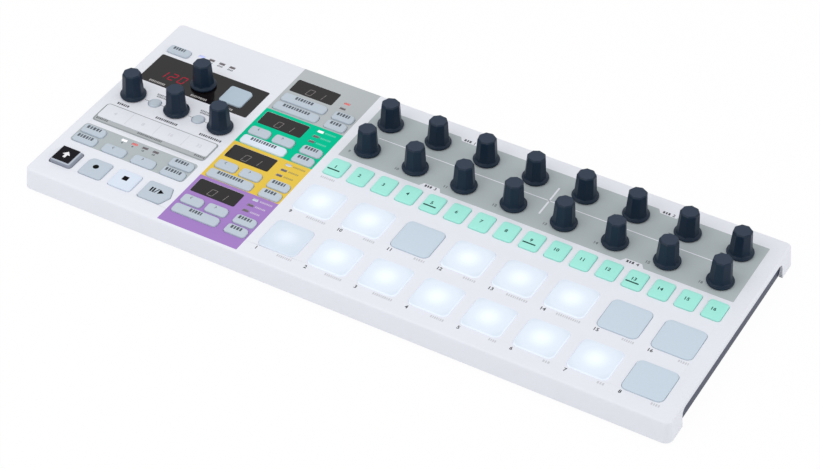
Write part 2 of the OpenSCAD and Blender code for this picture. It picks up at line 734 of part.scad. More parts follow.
// Pads on one silicone mat, with a pressure foot under each
module pad_mat() color("lightsteelblue") {
    cap_top = top_z + pad_rise;
    mat_w = (columns - 1) * pad_pitch_x + pad_w + 2 * flange_lip;
    mat_d = pad_pitch_y + pad_d + 2 * flange_lip;
    translate([field_mid, (pad_row(0) + pad_row(1)) / 2])
        prism(soft_rect(mat_w, mat_d, pad_r, pad_r), flange_z, flange_top);
    for (row = [0, 1], k = [0:columns - 1]) translate([field_col(k), pad_row(row)]) {
        outline = soft_rect(pad_w, pad_d, pad_r, pad_r);
        prism(outline, flange_z, cap_top - key_chamfer);
        tapered_top(outline, cap_top, key_chamfer, key_chamfer, pad_w, pad_d);
        foot(pad_w / 2, pad_d / 2, pad_travel);
    }
}

module left_keys() color("lightsteelblue") {
    small_keys(concat(link_keys, [sync_key]));
    for (at = round_spots) round_key(at);
}

module project_keys() color("lightsteelblue") small_keys(project_keys_at);

module track_keys(k) color("lightsteelblue") small_keys(track_keys_at(k));

// The shift key's flanks slope in over most of its rise
module shift_key() color("black")
    rect_key([left_col(0), transport_y], left_key_w, transport_d, shift_rise, key_r, key_r,
        [shift_slope_h, shift_slope]);

module record_key() color("lightsteelblue")
    rect_key([left_col(1), transport_y], left_key_w, transport_d, key_rise, key_r, record_r);

module stop_key() color("lightsteelblue")
    rect_key([left_col(2), transport_y], left_key_w, transport_d, key_rise, key_r);

module play_key() color("lightsteelblue") {
    lip = 2 * flange_lip;
    translate([left_col(3), transport_y]) key(pointed_rect(left_key_w, transport_d, play_tip, key_r),
        pointed_rect(left_key_w + lip, transport_d + lip, play_tip, key_r), key_rise, left_key_w, transport_d,
        key_bevel);
}

module tap_key() color("lightsteelblue")
    rect_key([left_mid + tap_x, tempo_y], tap_size, tap_size, key_rise, key_big_r);

module step_key(k) color("aquamarine") rect_key([step_x(k), step_y], step_w, step_d, key_rise, key_r);

// Knob: a round flange that flares into a tapered grip with flats, on its spindle
module knob(k) color("darkslategray") translate([knob_spots[k][0], knob_spots[k][1], knob_z]) {
    grip_z = rim_h / 2;
    shoulder = knob_h - grip_chamfer;
    taper = (grip_r - grip_top_r) / (shoulder - grip_z);
    // The flats stop a degree short of each other, so a narrow round edge stays between them
    flat_share = cos(180 / grip_flats - 1);
    // The flare ends just inside the flats
    neck_r = flat_share * (grip_r - taper * (flare_h - grip_z)) - rim_r / 2;
    flare = [for (a = [15:15:90])
        [neck_r + (flange_r - rim_r - neck_r) * (1 - sin(a)), rim_h + (flare_h - rim_h) * (1 - cos(a))]];
    rotate_extrude() polygon(concat(
        [[0, 0], [flange_r - rim_r / 2, 0], [flange_r, rim_r / 2]],
        quarter([flange_r - rim_r, rim_h - rim_r], rim_r, 0),
        flare,
        [[0, flare_h]]));
    difference() {
        union() {
            translate([0, 0, grip_z])
                cylinder(r1 = grip_r, r2 = grip_top_r, h = shoulder - grip_z);
            translate([0, 0, shoulder])
                cylinder(r1 = grip_top_r, r2 = grip_top_r - grip_chamfer, h = grip_chamfer);
        }
        for (i = [0:grip_flats - 1]) rotate([0, 0, i * 360 / grip_flats + k * knob_turn])
            translate([flat_share * grip_r, 0, grip_z]) rotate([0, -atan(flat_share * taper), 0])
                translate([0, -grip_r, -over]) cube([grip_r, 2 * grip_r, knob_h + 2 * over]);
    }
    translate([0, 0, spindle_end - knob_z]) cylinder(r = spindle_r, h = knob_z - spindle_end + rim_h);
}

top_cover();
base_pan();
rear_panel();
rubber_feet();
case_fasteners();
main_board();
encoder_bodies();
display_modules();
display_windows();
light_pipes();
touch_strip();
jack_sockets();
usb_socket();
pad_mat();
left_keys();
project_keys();
track_keys(2);  // track_keys_1
track_keys(1);  // track_keys_2
track_keys(0);  // drum_keys
shift_key();
record_key();
stop_key();
play_key();
tap_key();
knob(0);  // tempo_knob
for (k = [1:3]) knob(k);
for (k = [1:2 * columns]) knob(3 + k);
for (k = [1:steps]) step_key(k - 1);
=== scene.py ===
"""Looks of a desktop step sequencer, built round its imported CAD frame.

Lengths are millimetres in the frame's axes: +X to the player's right, +Y to the back, +Z up.
"""

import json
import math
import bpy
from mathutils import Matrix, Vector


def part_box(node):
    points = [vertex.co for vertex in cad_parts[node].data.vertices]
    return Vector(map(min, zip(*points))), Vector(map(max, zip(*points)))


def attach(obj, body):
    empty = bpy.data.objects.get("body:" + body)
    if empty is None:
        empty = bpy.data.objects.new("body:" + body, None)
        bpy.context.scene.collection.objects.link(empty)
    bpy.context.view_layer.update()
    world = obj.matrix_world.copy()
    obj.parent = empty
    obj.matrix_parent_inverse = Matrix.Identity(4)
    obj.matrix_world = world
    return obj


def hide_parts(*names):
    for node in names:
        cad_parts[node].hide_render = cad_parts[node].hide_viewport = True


bl_info = {
    "name": "Step sequencer looks",
    "version": (1, 0, 0),
    "blender": (4, 5, 0),
    "location": "View3D > Sidebar > Sequencer",
    "description": "Dresses the packed frame of a desktop step sequencer",
    "category": "Object",
}

import bmesh
import bpy
import numpy as np
from bpy.props import FloatProperty, FloatVectorProperty, IntProperty, PointerProperty
from mathutils import Matrix, Vector

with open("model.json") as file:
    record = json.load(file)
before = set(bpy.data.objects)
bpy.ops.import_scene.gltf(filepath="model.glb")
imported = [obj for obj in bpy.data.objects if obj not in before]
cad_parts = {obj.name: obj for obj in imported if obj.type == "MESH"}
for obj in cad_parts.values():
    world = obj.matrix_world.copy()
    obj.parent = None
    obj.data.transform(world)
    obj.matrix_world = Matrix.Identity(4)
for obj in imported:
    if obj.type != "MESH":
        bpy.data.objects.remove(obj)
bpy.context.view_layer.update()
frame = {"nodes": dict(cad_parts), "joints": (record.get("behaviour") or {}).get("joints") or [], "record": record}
MM = 0.001
# Least step between two surfaces that would otherwise lie in one plane
NUDGE = 0.02


def tint(red, green, blue):
    """Linear colour of an 8-bit display colour."""
    c = np.array([red, green, blue]) / 255
    return tuple(float(v) for v in np.where(c <= 0.04045, c / 12.92, ((c + 0.055) / 1.055) ** 2.4))


def colour_prop(name, description, *rgb):
    """Property for a colour, from its 8-bit display colour."""
    return FloatVectorProperty(
        name=name, description=description, subtype="COLOR", min=0, max=1, default=tint(*rgb)
    )


def length_prop(name, description, millimetres):
    """Property for a length, which Blender keeps in metres."""
    return FloatProperty(
        name=name, description=description, unit="LENGTH", precision=5, min=0, default=millimetres * MM
    )


def place_prop(name, description, *place):
    """Property for a point, in metres."""
    return FloatVectorProperty(name=name, description=description, subtype="TRANSLATION", default=place)


def number_prop(name, description, default, **more):
    """Property for a plain number or an angle."""
    return FloatProperty(name=name, description=description, default=default, **more)


def mm(looks, *names):
    """Lengths of a property group."""
    return [getattr(looks, name) / MM for name in names]


# Places read from the frame


def node_box(node):
    """Lowest and highest corner of a CAD node."""
    low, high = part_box(node)
    return np.array(low) / MM, np.array(high) / MM


def mesh_points(mesh):
    """Places of a mesh's vertices, as it keeps them."""
    points = np.empty(len(mesh.vertices) * 3, np.float32)
    mesh.vertices.foreach_get("co", points)
    return points.reshape(-1, 3)


def solids(node):
    """Boxes of a node's separate solids, sorted from the back left to the front right.

    Triangles that share a corner take the lowest label among their corners, again and again, until no label
    changes. Each label is then one solid.
    """
    mesh = frame["nodes"][node].data
    mesh.calc_loop_triangles()
    triangles = np.empty(len(mesh.loop_triangles) * 3, np.int32)
    mesh.loop_triangles.foreach_get("vertices", triangles)
    points, same = np.unique(np.round(mesh_points(mesh) / MM, 3), axis=0, return_inverse=True)
    triangles = same.ravel()[triangles].reshape(-1, 3)
    label = np.arange(len(points))
    while True:
        lower = label.copy()
        np.minimum.at(lower, triangles, label[triangles].min(1)[:, None])
        lower = lower[lower]
        if np.array_equal(lower, label):
            break
        label = lower
    boxes = [(points[label == k].min(0), points[label == k].max(0)) for k in np.unique(label[triangles])]
    return sorted(boxes, key=lambda box: (-round(float(box[0][1]), 1), float(box[0][0])))


def middle(box):
    """Middle of a box, seen from above."""
    return (box[0] + box[1])[:2] / 2


def span(box):
    """Width and depth of a box."""
    return (box[1] - box[0])[:2]


def joint_axis(node):
    """Place of a knob's axis."""
    joint = next(j for j in frame["joints"] if j["child"] == node)
    return np.array(joint["pos_m"][:2]) / MM


COVER_HIGH = node_box("top_cover")[1]
TOP = COVER_HIGH[2]
# Heights of a mark on the bare cover
BARE = (TOP - NUDGE, TOP + NUDGE)
KNOBS = ["tempo_knob"]
KNOBS += [f"groove_knob_{k}" for k in range(1, 4)]
KNOBS += [f"field_knob_{k}" for k in range(1, 17)]
STEPS = [f"step_key_{k}" for k in range(1, 17)]
WINDOWS = solids("display_windows")
LENSES = solids("light_pipes")
GROOVE = [joint_axis(node) for node in KNOBS[1:4]]
FIELD = np.array([joint_axis(node) for node in KNOBS[4:]])
FIELD_X, FIELD_Y = FIELD[:8, 0], FIELD[::8, 1]

# Printed panels: the coloured column, the link keys' panel and the knobs' panel
COLUMN_X, COLUMN_W = -114.4, 53.2
COLUMN_FOOT, COLUMN_END, SECTION_PITCH = -35.0, -79.6, 35.85
COLUMN_TOPS = [COLUMN_FOOT + k * SECTION_PITCH for k in range(3)]
LINK_PANEL = np.array([(-198.9, -47.0), (-119.3, -28.8)])
KNOB_PANEL, KNOB_PANEL_R = np.array([(-55.0, 20.2), (196.2, 70.8)]), 0.4
# How far the project print goes down the cover's rear edge, and how far up a printed face looks at least
PROJECT_WRAP, FLAT, SLOPED = 1.0, 0.99, 0.2

# Knobs: points along a flat, rows up the grip, half the angle of a corner's arc, the flare's ease and limit,
# and the rows over the shoulder as shares of the chamfer and of the top's radius
FLAT_POINTS, GRIP_ROWS, CORNER_ARC, FLARE_EASE, FLARE_MOST = 16, 13, math.radians(1), 1.4, 2
CHAMFER_IN, CHAMFER_UP, TOP_IN, FACE_IN = (0.12, 0.5, 0.88, 1.0), (0.3, 0.62, 0.92), (0.9, 0.4, 0.05), 0.8

# Numbers of a key's finishes, and its marks: the length of a caption, an arrow, or nothing on a round key
CAP, INK, LIT, ARROW = range(4)
ARROWS, ROUND = {"<": -1, ">": 1}, "o"
KEY_MARKS = {
    "left_keys": (8, ROUND, ROUND, 9.5, 8.5, 10.5, "<", ">", 10.5),
    "project_keys": (12, 8.3, 18, 7),
    "track_keys_1": ("<", ">", 8.3, 17, 7),
    "track_keys_2": ("<", ">", 8.3, 17, 7),
    "drum_keys": ("<", ">", 8.3, 8, 7),
}
LIT_KEY = ("track_keys_1", 3)
KEY_GROWTH, FOOT_R, LEAST_R = 0.1, 0.4, 0.1
KEY_WORD, KEY_WORD_AT = 2.6, np.array([-0.8, 1.3])
KEY_ARROW, KEY_ARROW_AT = 2.0, np.array([-1.6, 1.3])
STEP_FIGURE, STEP_FIGURE_AT = 2.6, np.array([-0.65, 0.05])
STEP_LINE, STEP_LINE_AT = (8.0, 1.0), np.array([-0.65, -2.95])
RECORD_DOT, RECORD_AT = 1.85, (-0.3, 0.9)
STOP_SIDE, STOP_R, STOP_AT = 3.6, 0.2, (-0.2, 0.9)
PLAY_STROKE, PLAY_STROKE_R, PLAY_STROKES, PLAY_AT = (1.1, 3.9), 0.1, (-3.9, -2.2), (1.2, 0.7)
SHIFT_RISE, SHIFT_INSET, SHIFT_DRAFT = 2.4, np.array([1.75, 1.2]), 0.17
SHIFT_BAND, SHIFT_LIP, SHIFT_FACE_R = 0.85, (0.97, 0.1), 0.4
# Nought for a dark pad, one for a dim one, two for a lit one, from the left, front row first
PAD_GLOW = ((1, 2, 2, 2, 2, 2, 2, 0), (2, 2, 0, 2, 2, 2, 0, 0))
PAD_COUNTS, PAD_CROWN = (8, 2), 0.15

# Displays: places from a window's middle, and the captions' places and lengths along the tempo window
TEMPO_DIGITS, TEMPO_PITCH, DIGIT_ASPECT = np.array([-29.6, -5.7]), 6.8, 0.6
TRACK_DIGITS, TRACK_PITCH, TRACK_DIGIT = np.array([-4.5, -4.5]), 7.4, (3.6, 5.4)
TRACK_SEGMENT, SLANT, SEGMENT_GAP = 0.6, 0.18, 0.6
TEMPO_WORD, TEMPO_WORD_UP = 1.7, 2.2
TEMPO_CAPTIONS = ((-26, 11), (4, 11), (24.5, 7))

# Indicators: where each lamp's lens lies, and how it is lit
LENS_R, LENS_EDGE, LENS_CROWN = 0.5, 0.25, 0.1
COLUMN_LENS_X, COLUMN_LENS_Y, COLUMN_LENS_PITCH = COLUMN_X + 39.7, 3.5, 5.2
SYNC_LENSES = [(-175.55 + 7.4 * k, 59.1) for k in range(4)]
LINK_LENSES = [(-170.05 + 7.4 * k, -31.6) for k in range(4)]
LAMPS = list(zip(SYNC_LENSES, ("blue", "dark", "dark", "dark")))
LAMPS += list(zip(LINK_LENSES, ("white", "red", "dark", "dark")))
LAMPS += [((COLUMN_LENS_X, 63.8), "red"), ((COLUMN_LENS_X, 58.6), "dark")]
LAMPS += [
    ((COLUMN_LENS_X, top - COLUMN_LENS_Y - k * COLUMN_LENS_PITCH), lamp)
    for top, first in zip(COLUMN_TOPS, ("pale", "pale", "white"))
    for k, lamp in enumerate((first, "dark", "dark"))
]

# Touch strip
STRIP_R, STRIP_EDGE, STRIP_BAND, STRIP_BAND_R = 2.5, 1.0, 3.9, 0.2
STRIP_WORD, STRIP_FIGURE, STRIP_DIVIDER, STRIP_MARGIN = 1.6, 2.8, 0.35, 1.2
STRIP_CAPTIONS = ((-34, 8), (0, 17), (35, 7))
DIVISIONS = ("4", "8", "16", "32")

# Prints on the cover: heights of captions and figures, their places and lengths
WHITE, DARK, GREY, FAINT, LILAC, BROWN, GREEN = range(7)
WORD_BEAT, WORD_GAP, WORD_BLOCK = (1.0, 0.75, 1.0, 0.85, 0.6, 0.95), 0.5, 0.68
ROW_LINE, SET_LINE, SET_REACH = 0.65, 1.1, 0.95
TAB, TAB_DIP = np.array([(7, 0), (5, 3.1), (-5, 3.1), (-7, 0)]), 0.05
SET_WORD, SET_WORD_X, SET_FIGURE, SET_FIGURE_X, SET_Y = (4.5, 1.9), -1.6, 2.3, 3, 1.4
KNOB_FIGURE, KNOB_FIGURE_AT = 2.2, np.array([-9.1, -5.4])
PAD_CAPTIONS = ((9.4, 10.5, 12, 8, 4.4, 4, 4, 5), (12.3, 7, 6.6, 7.5, 12.8, 14.3, 7, 6))
PAD_WORD, PAD_WORD_Y = 1.8, -2.4
PAD_FIGURE, PAD_FIGURE_X, PAD_FIGURE_Y, FIGURE_HALF = 2.6, 0.75, -2.6, 0.27
STEP_CAPTION, STEP_CAPTION_AT = (9, 1.7), (0, -10.6)
GROOVE_CAPTIONS, GROOVE_WORD, GROOVE_WORD_Y = (8, 15, 15), 1.9, -10.8
GROOVE_LINE, GROOVE_LINE_GAP = 0.4, 16.5
ROUND_CAPTIONS, ROUND_WORD, ROUND_WORD_X = ((8.2, 8), (6.4, 6.5)), 1.4, 0.5
SYNC_CAPTION, LINK_FIGURE, UNDER_LENS = (3.6, 1.4), 1.5, 2.6
COLUMN_CAPTIONS = (((8, 6.5, 6), LILAC), ((8, 6.5, 6), BROWN), ((7, 6.5, 6.5), GREEN))
COLUMN_WORD, COLUMN_WORD_X = 1.35, 3.2

# Stage: a lamp's place in metres and its size
FRONT_LIGHT = ((-0.2, -0.4, 0.78), 0.7)
SIDE_LIGHT = ((1.2, 0.3, 0.4), 0.8)
SENSOR, FLOOR_HALF = 36, 4


class CaseLooks(bpy.types.PropertyGroup):
    """Colours of the case and of its printed panels."""

    cover: colour_prop("Cover", "Moulded cover", 228, 230, 238)
    pan: colour_prop("Pan", "Powder coat of the pan and the rear plates", 44, 53, 78)
    link_panel: colour_prop("Link panel", "Grey print round the link keys", 177, 185, 188)
    project_panel: colour_prop("Project panel", "Grey print at the column's rear", 182, 188, 190)
    first_panel: colour_prop("First track", "Green print of the first track", 5, 194, 148)
    second_panel: colour_prop("Second track", "Yellow print of the second track", 229, 196, 80)
    drum_panel: colour_prop("Drum track", "Purple print of the drum track", 164, 128, 196)
    knob_panel: colour_prop("Knob panel", "Grey print under the sixteen knobs", 178, 187, 190)
    print_t: length_prop("Print thickness", "Thickness of the printed films", 0.03)
    panel_r: length_prop("Panel corner", "Corner radius of the link panel", 2.5)


class KnobLooks(bpy.types.PropertyGroup):
    """Shape and colour of the knobs."""

    rubber: colour_prop("Rubber", "Soft dark rubber of the knobs", 17, 36, 55)
    # The face's paler colour is a painted highlight: the same rubber as the grip, lit from above
    top: colour_prop("Top", "Face of the knobs, paler from painted_highlight", 51, 62, 78)
    height: length_prop("Height", "From the flange's underside to the top", 16.5)
    flange_r: length_prop("Flange radius", "Radius of the round flange", 8)
    rim_h: length_prop("Rim height", "Height of the flange's rim", 1.5)
    rim_r: length_prop("Rim edge", "Radius of the flange's edge", 0.6)
    grip_r: length_prop("Grip radius", "Radius of the grip where it leaves the flange", 6.7)
    grip_top_r: length_prop("Grip top radius", "Radius of the grip at its top", 5.7)
    flare_h: length_prop("Flare height", "Height at which the flare ends", 5)
    chamfer: length_prop("Chamfer", "Chamfer at the top of the grip", 0.9)
    spindle_r: length_prop("Spindle radius", "Radius of the spindle under the knob", 2.9)
    blend: length_prop("Blend", "Width of the soft edge between the flats and the flare", 0.35)
    flats: IntProperty(name="Flats", description="Flats round the grip", min=3, default=8)
    turn: number_prop("Turn", "Turn of each knob past the one before", math.radians(17), subtype="ANGLE")


class KeyLooks(bpy.types.PropertyGroup):
    """Shapes and colours of the keys and the pads."""

    silicone: colour_prop("Silicone", "Pale grey keys", 185, 197, 209)
    tap: colour_prop("Tap key", "Grey tap key in the tempo window", 175, 192, 206)
    step: colour_prop("Step keys", "Lit mint of the step keys", 157, 228, 215)
    pad: colour_prop("Pads", "Silicone of the pads", 196, 211, 224)
    pad_lit: colour_prop("Lit pads", "Silicone of the lit pads", 193, 206, 221)
    lit: colour_prop("Lit keys", "Keys that are lit white", 210, 221, 236)
    shift_top: colour_prop("Shift top", "Black top of the shift key", 14, 13, 20)
    # The flanks' darker grey is painted shade and the bevel's paler grey a painted highlight, on one silicone
    painted_shade_shift_flank: colour_prop("Shift flanks", "Sloped flanks of the shift key", 146, 152, 166)
    painted_highlight_shift_bevel: colour_prop("Shift bevel", "Pale bevel round the shift key's face", 184, 192, 204)
    legend: colour_prop("Legends", "Dark print on keys and cover", 58, 62, 68)
    flange_lip: length_prop("Flange lip", "How far a key's flange reaches past its cap", 0.7)
    flange_t: length_prop("Flange", "Thickness of a key's flange", 1)
    flange_drop: length_prop("Flange drop", "From the cover's top down to a key's flange", 2.8)
    edge_r: length_prop("Key edge", "Radius of a key's top edge", 0.7)
    crown: length_prop("Crown", "Rise of a key's top from its edge to its middle", 0.08)
    corner_r: length_prop("Key corner", "Corner radius of a key", 1.8)
    big_r: length_prop("Large corner", "Right rear corner of a small key", 3)
    record_r: length_prop("Record corner", "Left rear corner of the record key", 4)
    play_tip: length_prop("Play tip", "Length of the play key's point", 2.9)
    pad_w: length_prop("Pad width", "Width of a pad", 24.2)
    pad_d: length_prop("Pad depth", "Depth of a pad", 24.3)
    pad_r: length_prop("Pad corner", "Corner radius of a pad", 3.6)


class LightLooks(bpy.types.PropertyGroup):
    """Displays and indicators."""

    window: colour_prop("Window", "Dark polished windows", 19, 15, 17)
    digits: colour_prop("Digits", "Lit tempo digits", 172, 16, 50)
    dim_digits: colour_prop("Dim digits", "Faint digits of the column's windows", 118, 112, 112)
    lens_dark: colour_prop("Dark lens", "Indicator that isn't lit", 104, 96, 100)
    lens_white: colour_prop("White lens", "Indicator lit white", 250, 248, 252)
    lens_pale: colour_prop("Pale lens", "Indicator lit faintly", 206, 214, 228)
    lens_red: colour_prop("Red lens", "Indicator lit red", 222, 116, 114)
    lens_blue: colour_prop("Blue lens", "Indicator lit blue", 190, 200, 255)
    digit_h: length_prop("Digit height", "Height of the tempo digits", 6.2)
    segment: length_prop("Segment", "Width of a digit's segments", 0.7)


class StageLooks(bpy.types.PropertyGroup):
    """Camera, light and floor."""

    focal: number_prop("Focal length", "Of a 36 mm sensor, in millimetres", 104.28)
    camera_at: place_prop("Camera", "Place of the camera", 0.505121, -0.893042, 0.897966)
    target: place_prop("Target", "Point that the camera looks at", 0.01622, -0.01986, 0.0156)
    roll: number_prop("Roll", "Turn of the camera about its view", math.radians(0.6526), subtype="ANGLE")
    ambient: number_prop("Ambient", "Strength of the even light all round", 0.8)
    front: number_prop("Front", "Power of the soft light over the front", 2.16)
    side: number_prop("Side", "Power of the soft light at the right rear", 1.9)
    floor: colour_prop("Floor", "Colour of the floor", 242, 242, 243)
    whiteness: number_prop("Whiteness", "Share of plain white that the camera sees in the floor", 0.97)


# Finishes

SILICONE = {"grain": 1100}
KEY_INK = {"rough": 0.6, "spread": 0.08, "specular": 0.1}
FILM = {"rough": 0.6, "bump": 0.04, "specular": 0.02}
# The noises' usual range, how much coarser the broad one is, and what they do to roughness and relief
NOISE_LOW, NOISE_HIGH, NOISE_BROAD, NOISE_DETAIL = 0.35, 0.65, 40, 3
WEAR, LEAST_ROUGH, RELIEF = 0.06, 0.02, 0.0002
CORNER_REACH = 1.3


def feed(tree, node, inputs):
    """Sets a node's inputs: a socket is linked, and anything else is the input's own value."""
    for name, value in inputs.items():
        if isinstance(value, bpy.types.NodeSocket):
            tree.links.new(value, node.inputs[name])
        else:
            node.inputs[name].default_value = value
    return node


def shade(tree, kind, inputs, **settings):
    """New shader node with its settings and inputs."""
    node = tree.nodes.new(f"ShaderNode{kind}")
    for name, value in settings.items():
        setattr(node, name, value)
    return feed(tree, node, inputs)


def finish(name, colour, rough=0.5, grain=1800, spread=0.02, bump=0.05, specular=0.5, metal=0, power=0):
    """Surface finish on Object coordinates.

    A fine noise and a broad one are averaged. Their mean carries the colour a few percent either way and
    moves the roughness, and the fine one raises the bump.
    """
    m = bpy.data.materials.new(name)
    m.use_nodes = True
    tree, colour = m.node_tree, np.array(colour[:3])
    place = shade(tree, "TexCoord", {}).outputs["Object"]
    noises = [
        shade(tree, "TexNoise", {"Vector": place, "Scale": scale, "Detail": NOISE_DETAIL}).outputs["Fac"]
        for scale in (grain, grain / NOISE_BROAD)
    ]
    total = shade(tree, "Math", {0: noises[0], 1: noises[1]}, operation="ADD").outputs[0]
    mean = shade(tree, "Math", {0: total, 1: 0.5}, operation="MULTIPLY").outputs[0]
    ramp = shade(tree, "ValToRGB", {"Fac": mean})
    low, high = ramp.color_ramp.elements
    low.position, high.position = NOISE_LOW, NOISE_HIGH
    low.color = [*(colour * (1 - spread)), 1]
    high.color = [*np.minimum(colour * (1 + spread), 1), 1]
    worn = {"Value": mean, "From Min": NOISE_LOW, "From Max": NOISE_HIGH}
    worn |= {"To Min": max(rough - WEAR, LEAST_ROUGH), "To Max": min(rough + WEAR, 1)}
    surface = {
        "Base Color": ramp.outputs["Color"],
        "Roughness": shade(tree, "MapRange", worn).outputs["Result"],
        "Normal": shade(
            tree, "Bump", {"Strength": bump, "Distance": RELIEF, "Height": noises[0]}
        ).outputs["Normal"],
        "Specular IOR Level": specular,
        "Metallic": metal,
    }
    if power:
        surface |= {"Emission Color": [*colour, 1], "Emission Strength": power}
    feed(tree, tree.nodes["Principled BSDF"], surface)
    return m


def lit_finish(name, body, power, edge, corner, reach=0.85):
    """Silicone lit from below.

    Its light falls off smoothly from the middle of the piece's UV map to a given reach, where it keeps a
    share of its power, and from there to the corners.
    """
    m = finish(name, body, grain=900, spread=0.015)
    tree = m.node_tree
    place = shade(tree, "TexCoord", {}).outputs["UV"]
    far = shade(tree, "VectorMath", {0: place}, operation="LENGTH").outputs["Value"]
    share = shade(tree, "MapRange", {"Value": far, "From Max": CORNER_REACH}).outputs["Result"]
    fall = shade(tree, "ValToRGB", {"Fac": share})
    fall.color_ramp.interpolation = "EASE"
    stops = fall.color_ramp.elements
    stops[0].color = (1, 1, 1, 1)
    stops[1].color = (corner, corner, corner, 1)
    stops.new(reach / CORNER_REACH).color = (edge, edge, edge, 1)
    lit = {"Emission Color": fall.outputs["Color"], "Emission Strength": power}
    feed(tree, tree.nodes["Principled BSDF"], lit)
    return m


# Shapes: each is an array of points and a list of faces


def rounded(corners, radii, steps=6):
    """Outline whose corners are arcs.

    An arc's centre lies on the corner's bisector, at its radius over the sine of half the corner's angle, and
    its points turn evenly from one side to the next.
    """
    p = np.asarray(corners, float)
    r = np.broadcast_to(np.asarray(radii, float), len(p))[:, None]
    u = np.roll(p, 1, 0) - p
    v = np.roll(p, -1, 0) - p
    u /= np.linalg.norm(u, axis=1)[:, None]
    v /= np.linalg.norm(v, axis=1)[:, None]
    half = np.arccos(np.clip((u * v).sum(1), -1, 1))[:, None] / 2
    bisector = (u + v) / np.linalg.norm(u + v, axis=1)[:, None]
    centre = p + bisector * r / np.sin(half)
    start = p + u * r / np.tan(half) - centre
    end = p + v * r / np.tan(half) - centre
    a = np.arctan2(start[:, 1], start[:, 0])[:, None]
    sweep = (np.arctan2(end[:, 1], end[:, 0])[:, None] - a + np.pi) % (2 * np.pi) - np.pi
    t = a + sweep * np.linspace(0, 1, steps + 1)
    return (centre[:, None] + r[:, :, None] * np.stack([np.cos(t), np.sin(t)], -1)).reshape(-1, 2)


def soft_rect(size, radii, inset=0.0, steps=6):
    """Rectangle round the origin drawn in by an inset. Its radii start at the right rear and go left."""
    w, d = np.asarray(size, float) / 2 - inset
    r = np.maximum(np.broadcast_to(np.asarray(radii, float), 4) - inset, LEAST_R)
    return rounded([(w, d), (-w, d), (-w, -d), (w, -d)], r, steps)


def circle(r, points=32):
    """Outline at one radius, with its points at even angles."""
    t = np.linspace(0, 2 * np.pi, points, endpoint=False)
    return r * np.stack([np.cos(t), np.sin(t)], -1)


def ring(outline, at, z):
    """Outline moved to a place and a height."""
    flat = np.asarray(outline, float) + np.asarray(at, float)
    return np.column_stack([flat, np.full(len(flat), z)])


def walls(rows, n):
    """Quads of a grid of closed rows, the last of which meets the first.

    Point j of row i is vertex i times n plus j.
    """
    this = np.arange(rows)[:, None] * n + np.arange(n)
    after = np.roll(this, -1, 1)
    return np.stack([this, after, np.roll(after, -1, 0), np.roll(this, -1, 0)], -1)


def loft(rings):
    """Closed surface through a stack of rings: quads between neighbours, caps on the first and the last."""
    rings = np.asarray(rings, float)
    m, n = rings.shape[:2]
    caps = [np.arange(n)[::-1].tolist(), (np.arange(n) + (m - 1) * n).tolist()]
    return rings.reshape(-1, 3), walls(m, n)[:-1].reshape(-1, 4).tolist() + caps


def plate(outline, at, low, high):
    """Prism of an outline between two heights."""
    return loft([ring(outline, at, low), ring(outline, at, high)])


def hoop(outer, inner, at, low, high):
    """Flat closed hoop between two outlines of equal counts: four rings, the last joined to the first."""
    levels = ((outer, low), (outer, high), (inner, high), (inner, low))
    rings = np.array([ring(outline, at, z) for outline, z in levels])
    return rings.reshape(-1, 3), walls(*rings.shape[:2]).reshape(-1, 4).tolist()


def bar(length, height, at, low, high):
    """Slim block with corners a fifth of its width."""
    return plate(soft_rect((length, height), min(length, height) * 0.2, steps=2), at, low, high)


def words(length, height, at, low, high):
    """Caption of plain blocks: widths in a fixed beat with even gaps, scaled to the length."""
    count = max(2, round(length / height / WORD_BLOCK))
    wide = np.resize(WORD_BEAT, count)
    scale = length / (wide.sum() + WORD_GAP * (count - 1))
    middles = (np.cumsum(wide + WORD_GAP) - WORD_GAP - wide / 2) * scale - length / 2
    halves = np.column_stack([wide * scale, np.full(count, height)]) / 2
    square = np.array([(1, 1), (-1, 1), (-1, -1), (1, -1)])
    at = np.asarray(at, float)
    return [plate(half * square, at + (x, 0), low, high) for x, half in zip(middles, halves)]


def crowned(outline_at, at, base, top, edge, crown, size):
    """Cap: straight up to a quarter-round edge, then a shallow crown.

    The edge's inset is r(1 - cos a) at height r sin a. The crown falls off with the square of the distance
    from the middle, which is 1 - t where t runs from the edge inwards.
    """
    a = np.linspace(0, np.pi / 2, 5)
    t = np.array([0.25, 0.5, 0.75, 0.95])
    inset = np.concatenate([[0], edge * (1 - np.cos(a)), edge + t * (min(size) / 2 - edge)])
    z = np.concatenate([[base], top - crown - edge + edge * np.sin(a), top - crown * (1 - t) ** 2])
    return loft([ring(outline_at(i), at, h) for i, h in zip(inset, z)])


FIGURES = {}


def figure_mesh(text):
    """Points and faces of the built-in font's figures, a little bolder than it draws them, one unit thick."""
    curve = bpy.data.curves.new("figures", "FONT")
    curve.body = text
    curve.align_x = "CENTER"
    curve.extrude = 0.5
    curve.offset = 0.025
    curve.resolution_u = 3
    source = bpy.data.objects.new("figures", curve)
    bpy.context.scene.collection.objects.link(source)
    bpy.context.view_layer.update()
    mesh = bpy.data.meshes.new_from_object(source.evaluated_get(bpy.context.evaluated_depsgraph_get()))
    made = mesh_points(mesh), [list(p.vertices) for p in mesh.polygons]
    bpy.data.objects.remove(source)
    bpy.data.curves.remove(curve)
    bpy.data.meshes.remove(mesh)
    return made


def glyphs(text, height, at, low, high):
    """Plain figures as closed prisms, scaled to a height and centred on a place."""
    if text not in FIGURES:
        FIGURES[text] = figure_mesh(text)
    co, faces = FIGURES[text]
    low_at, high_at = co.min(0), co.max(0)
    centred = (co - (low_at + high_at) / 2) / (high_at[1] - low_at[1]) * height
    flat = centred[:, :2] + np.asarray(at, float)
    return np.column_stack([flat, np.where(co[:, 2] > 0, high, low)]), faces


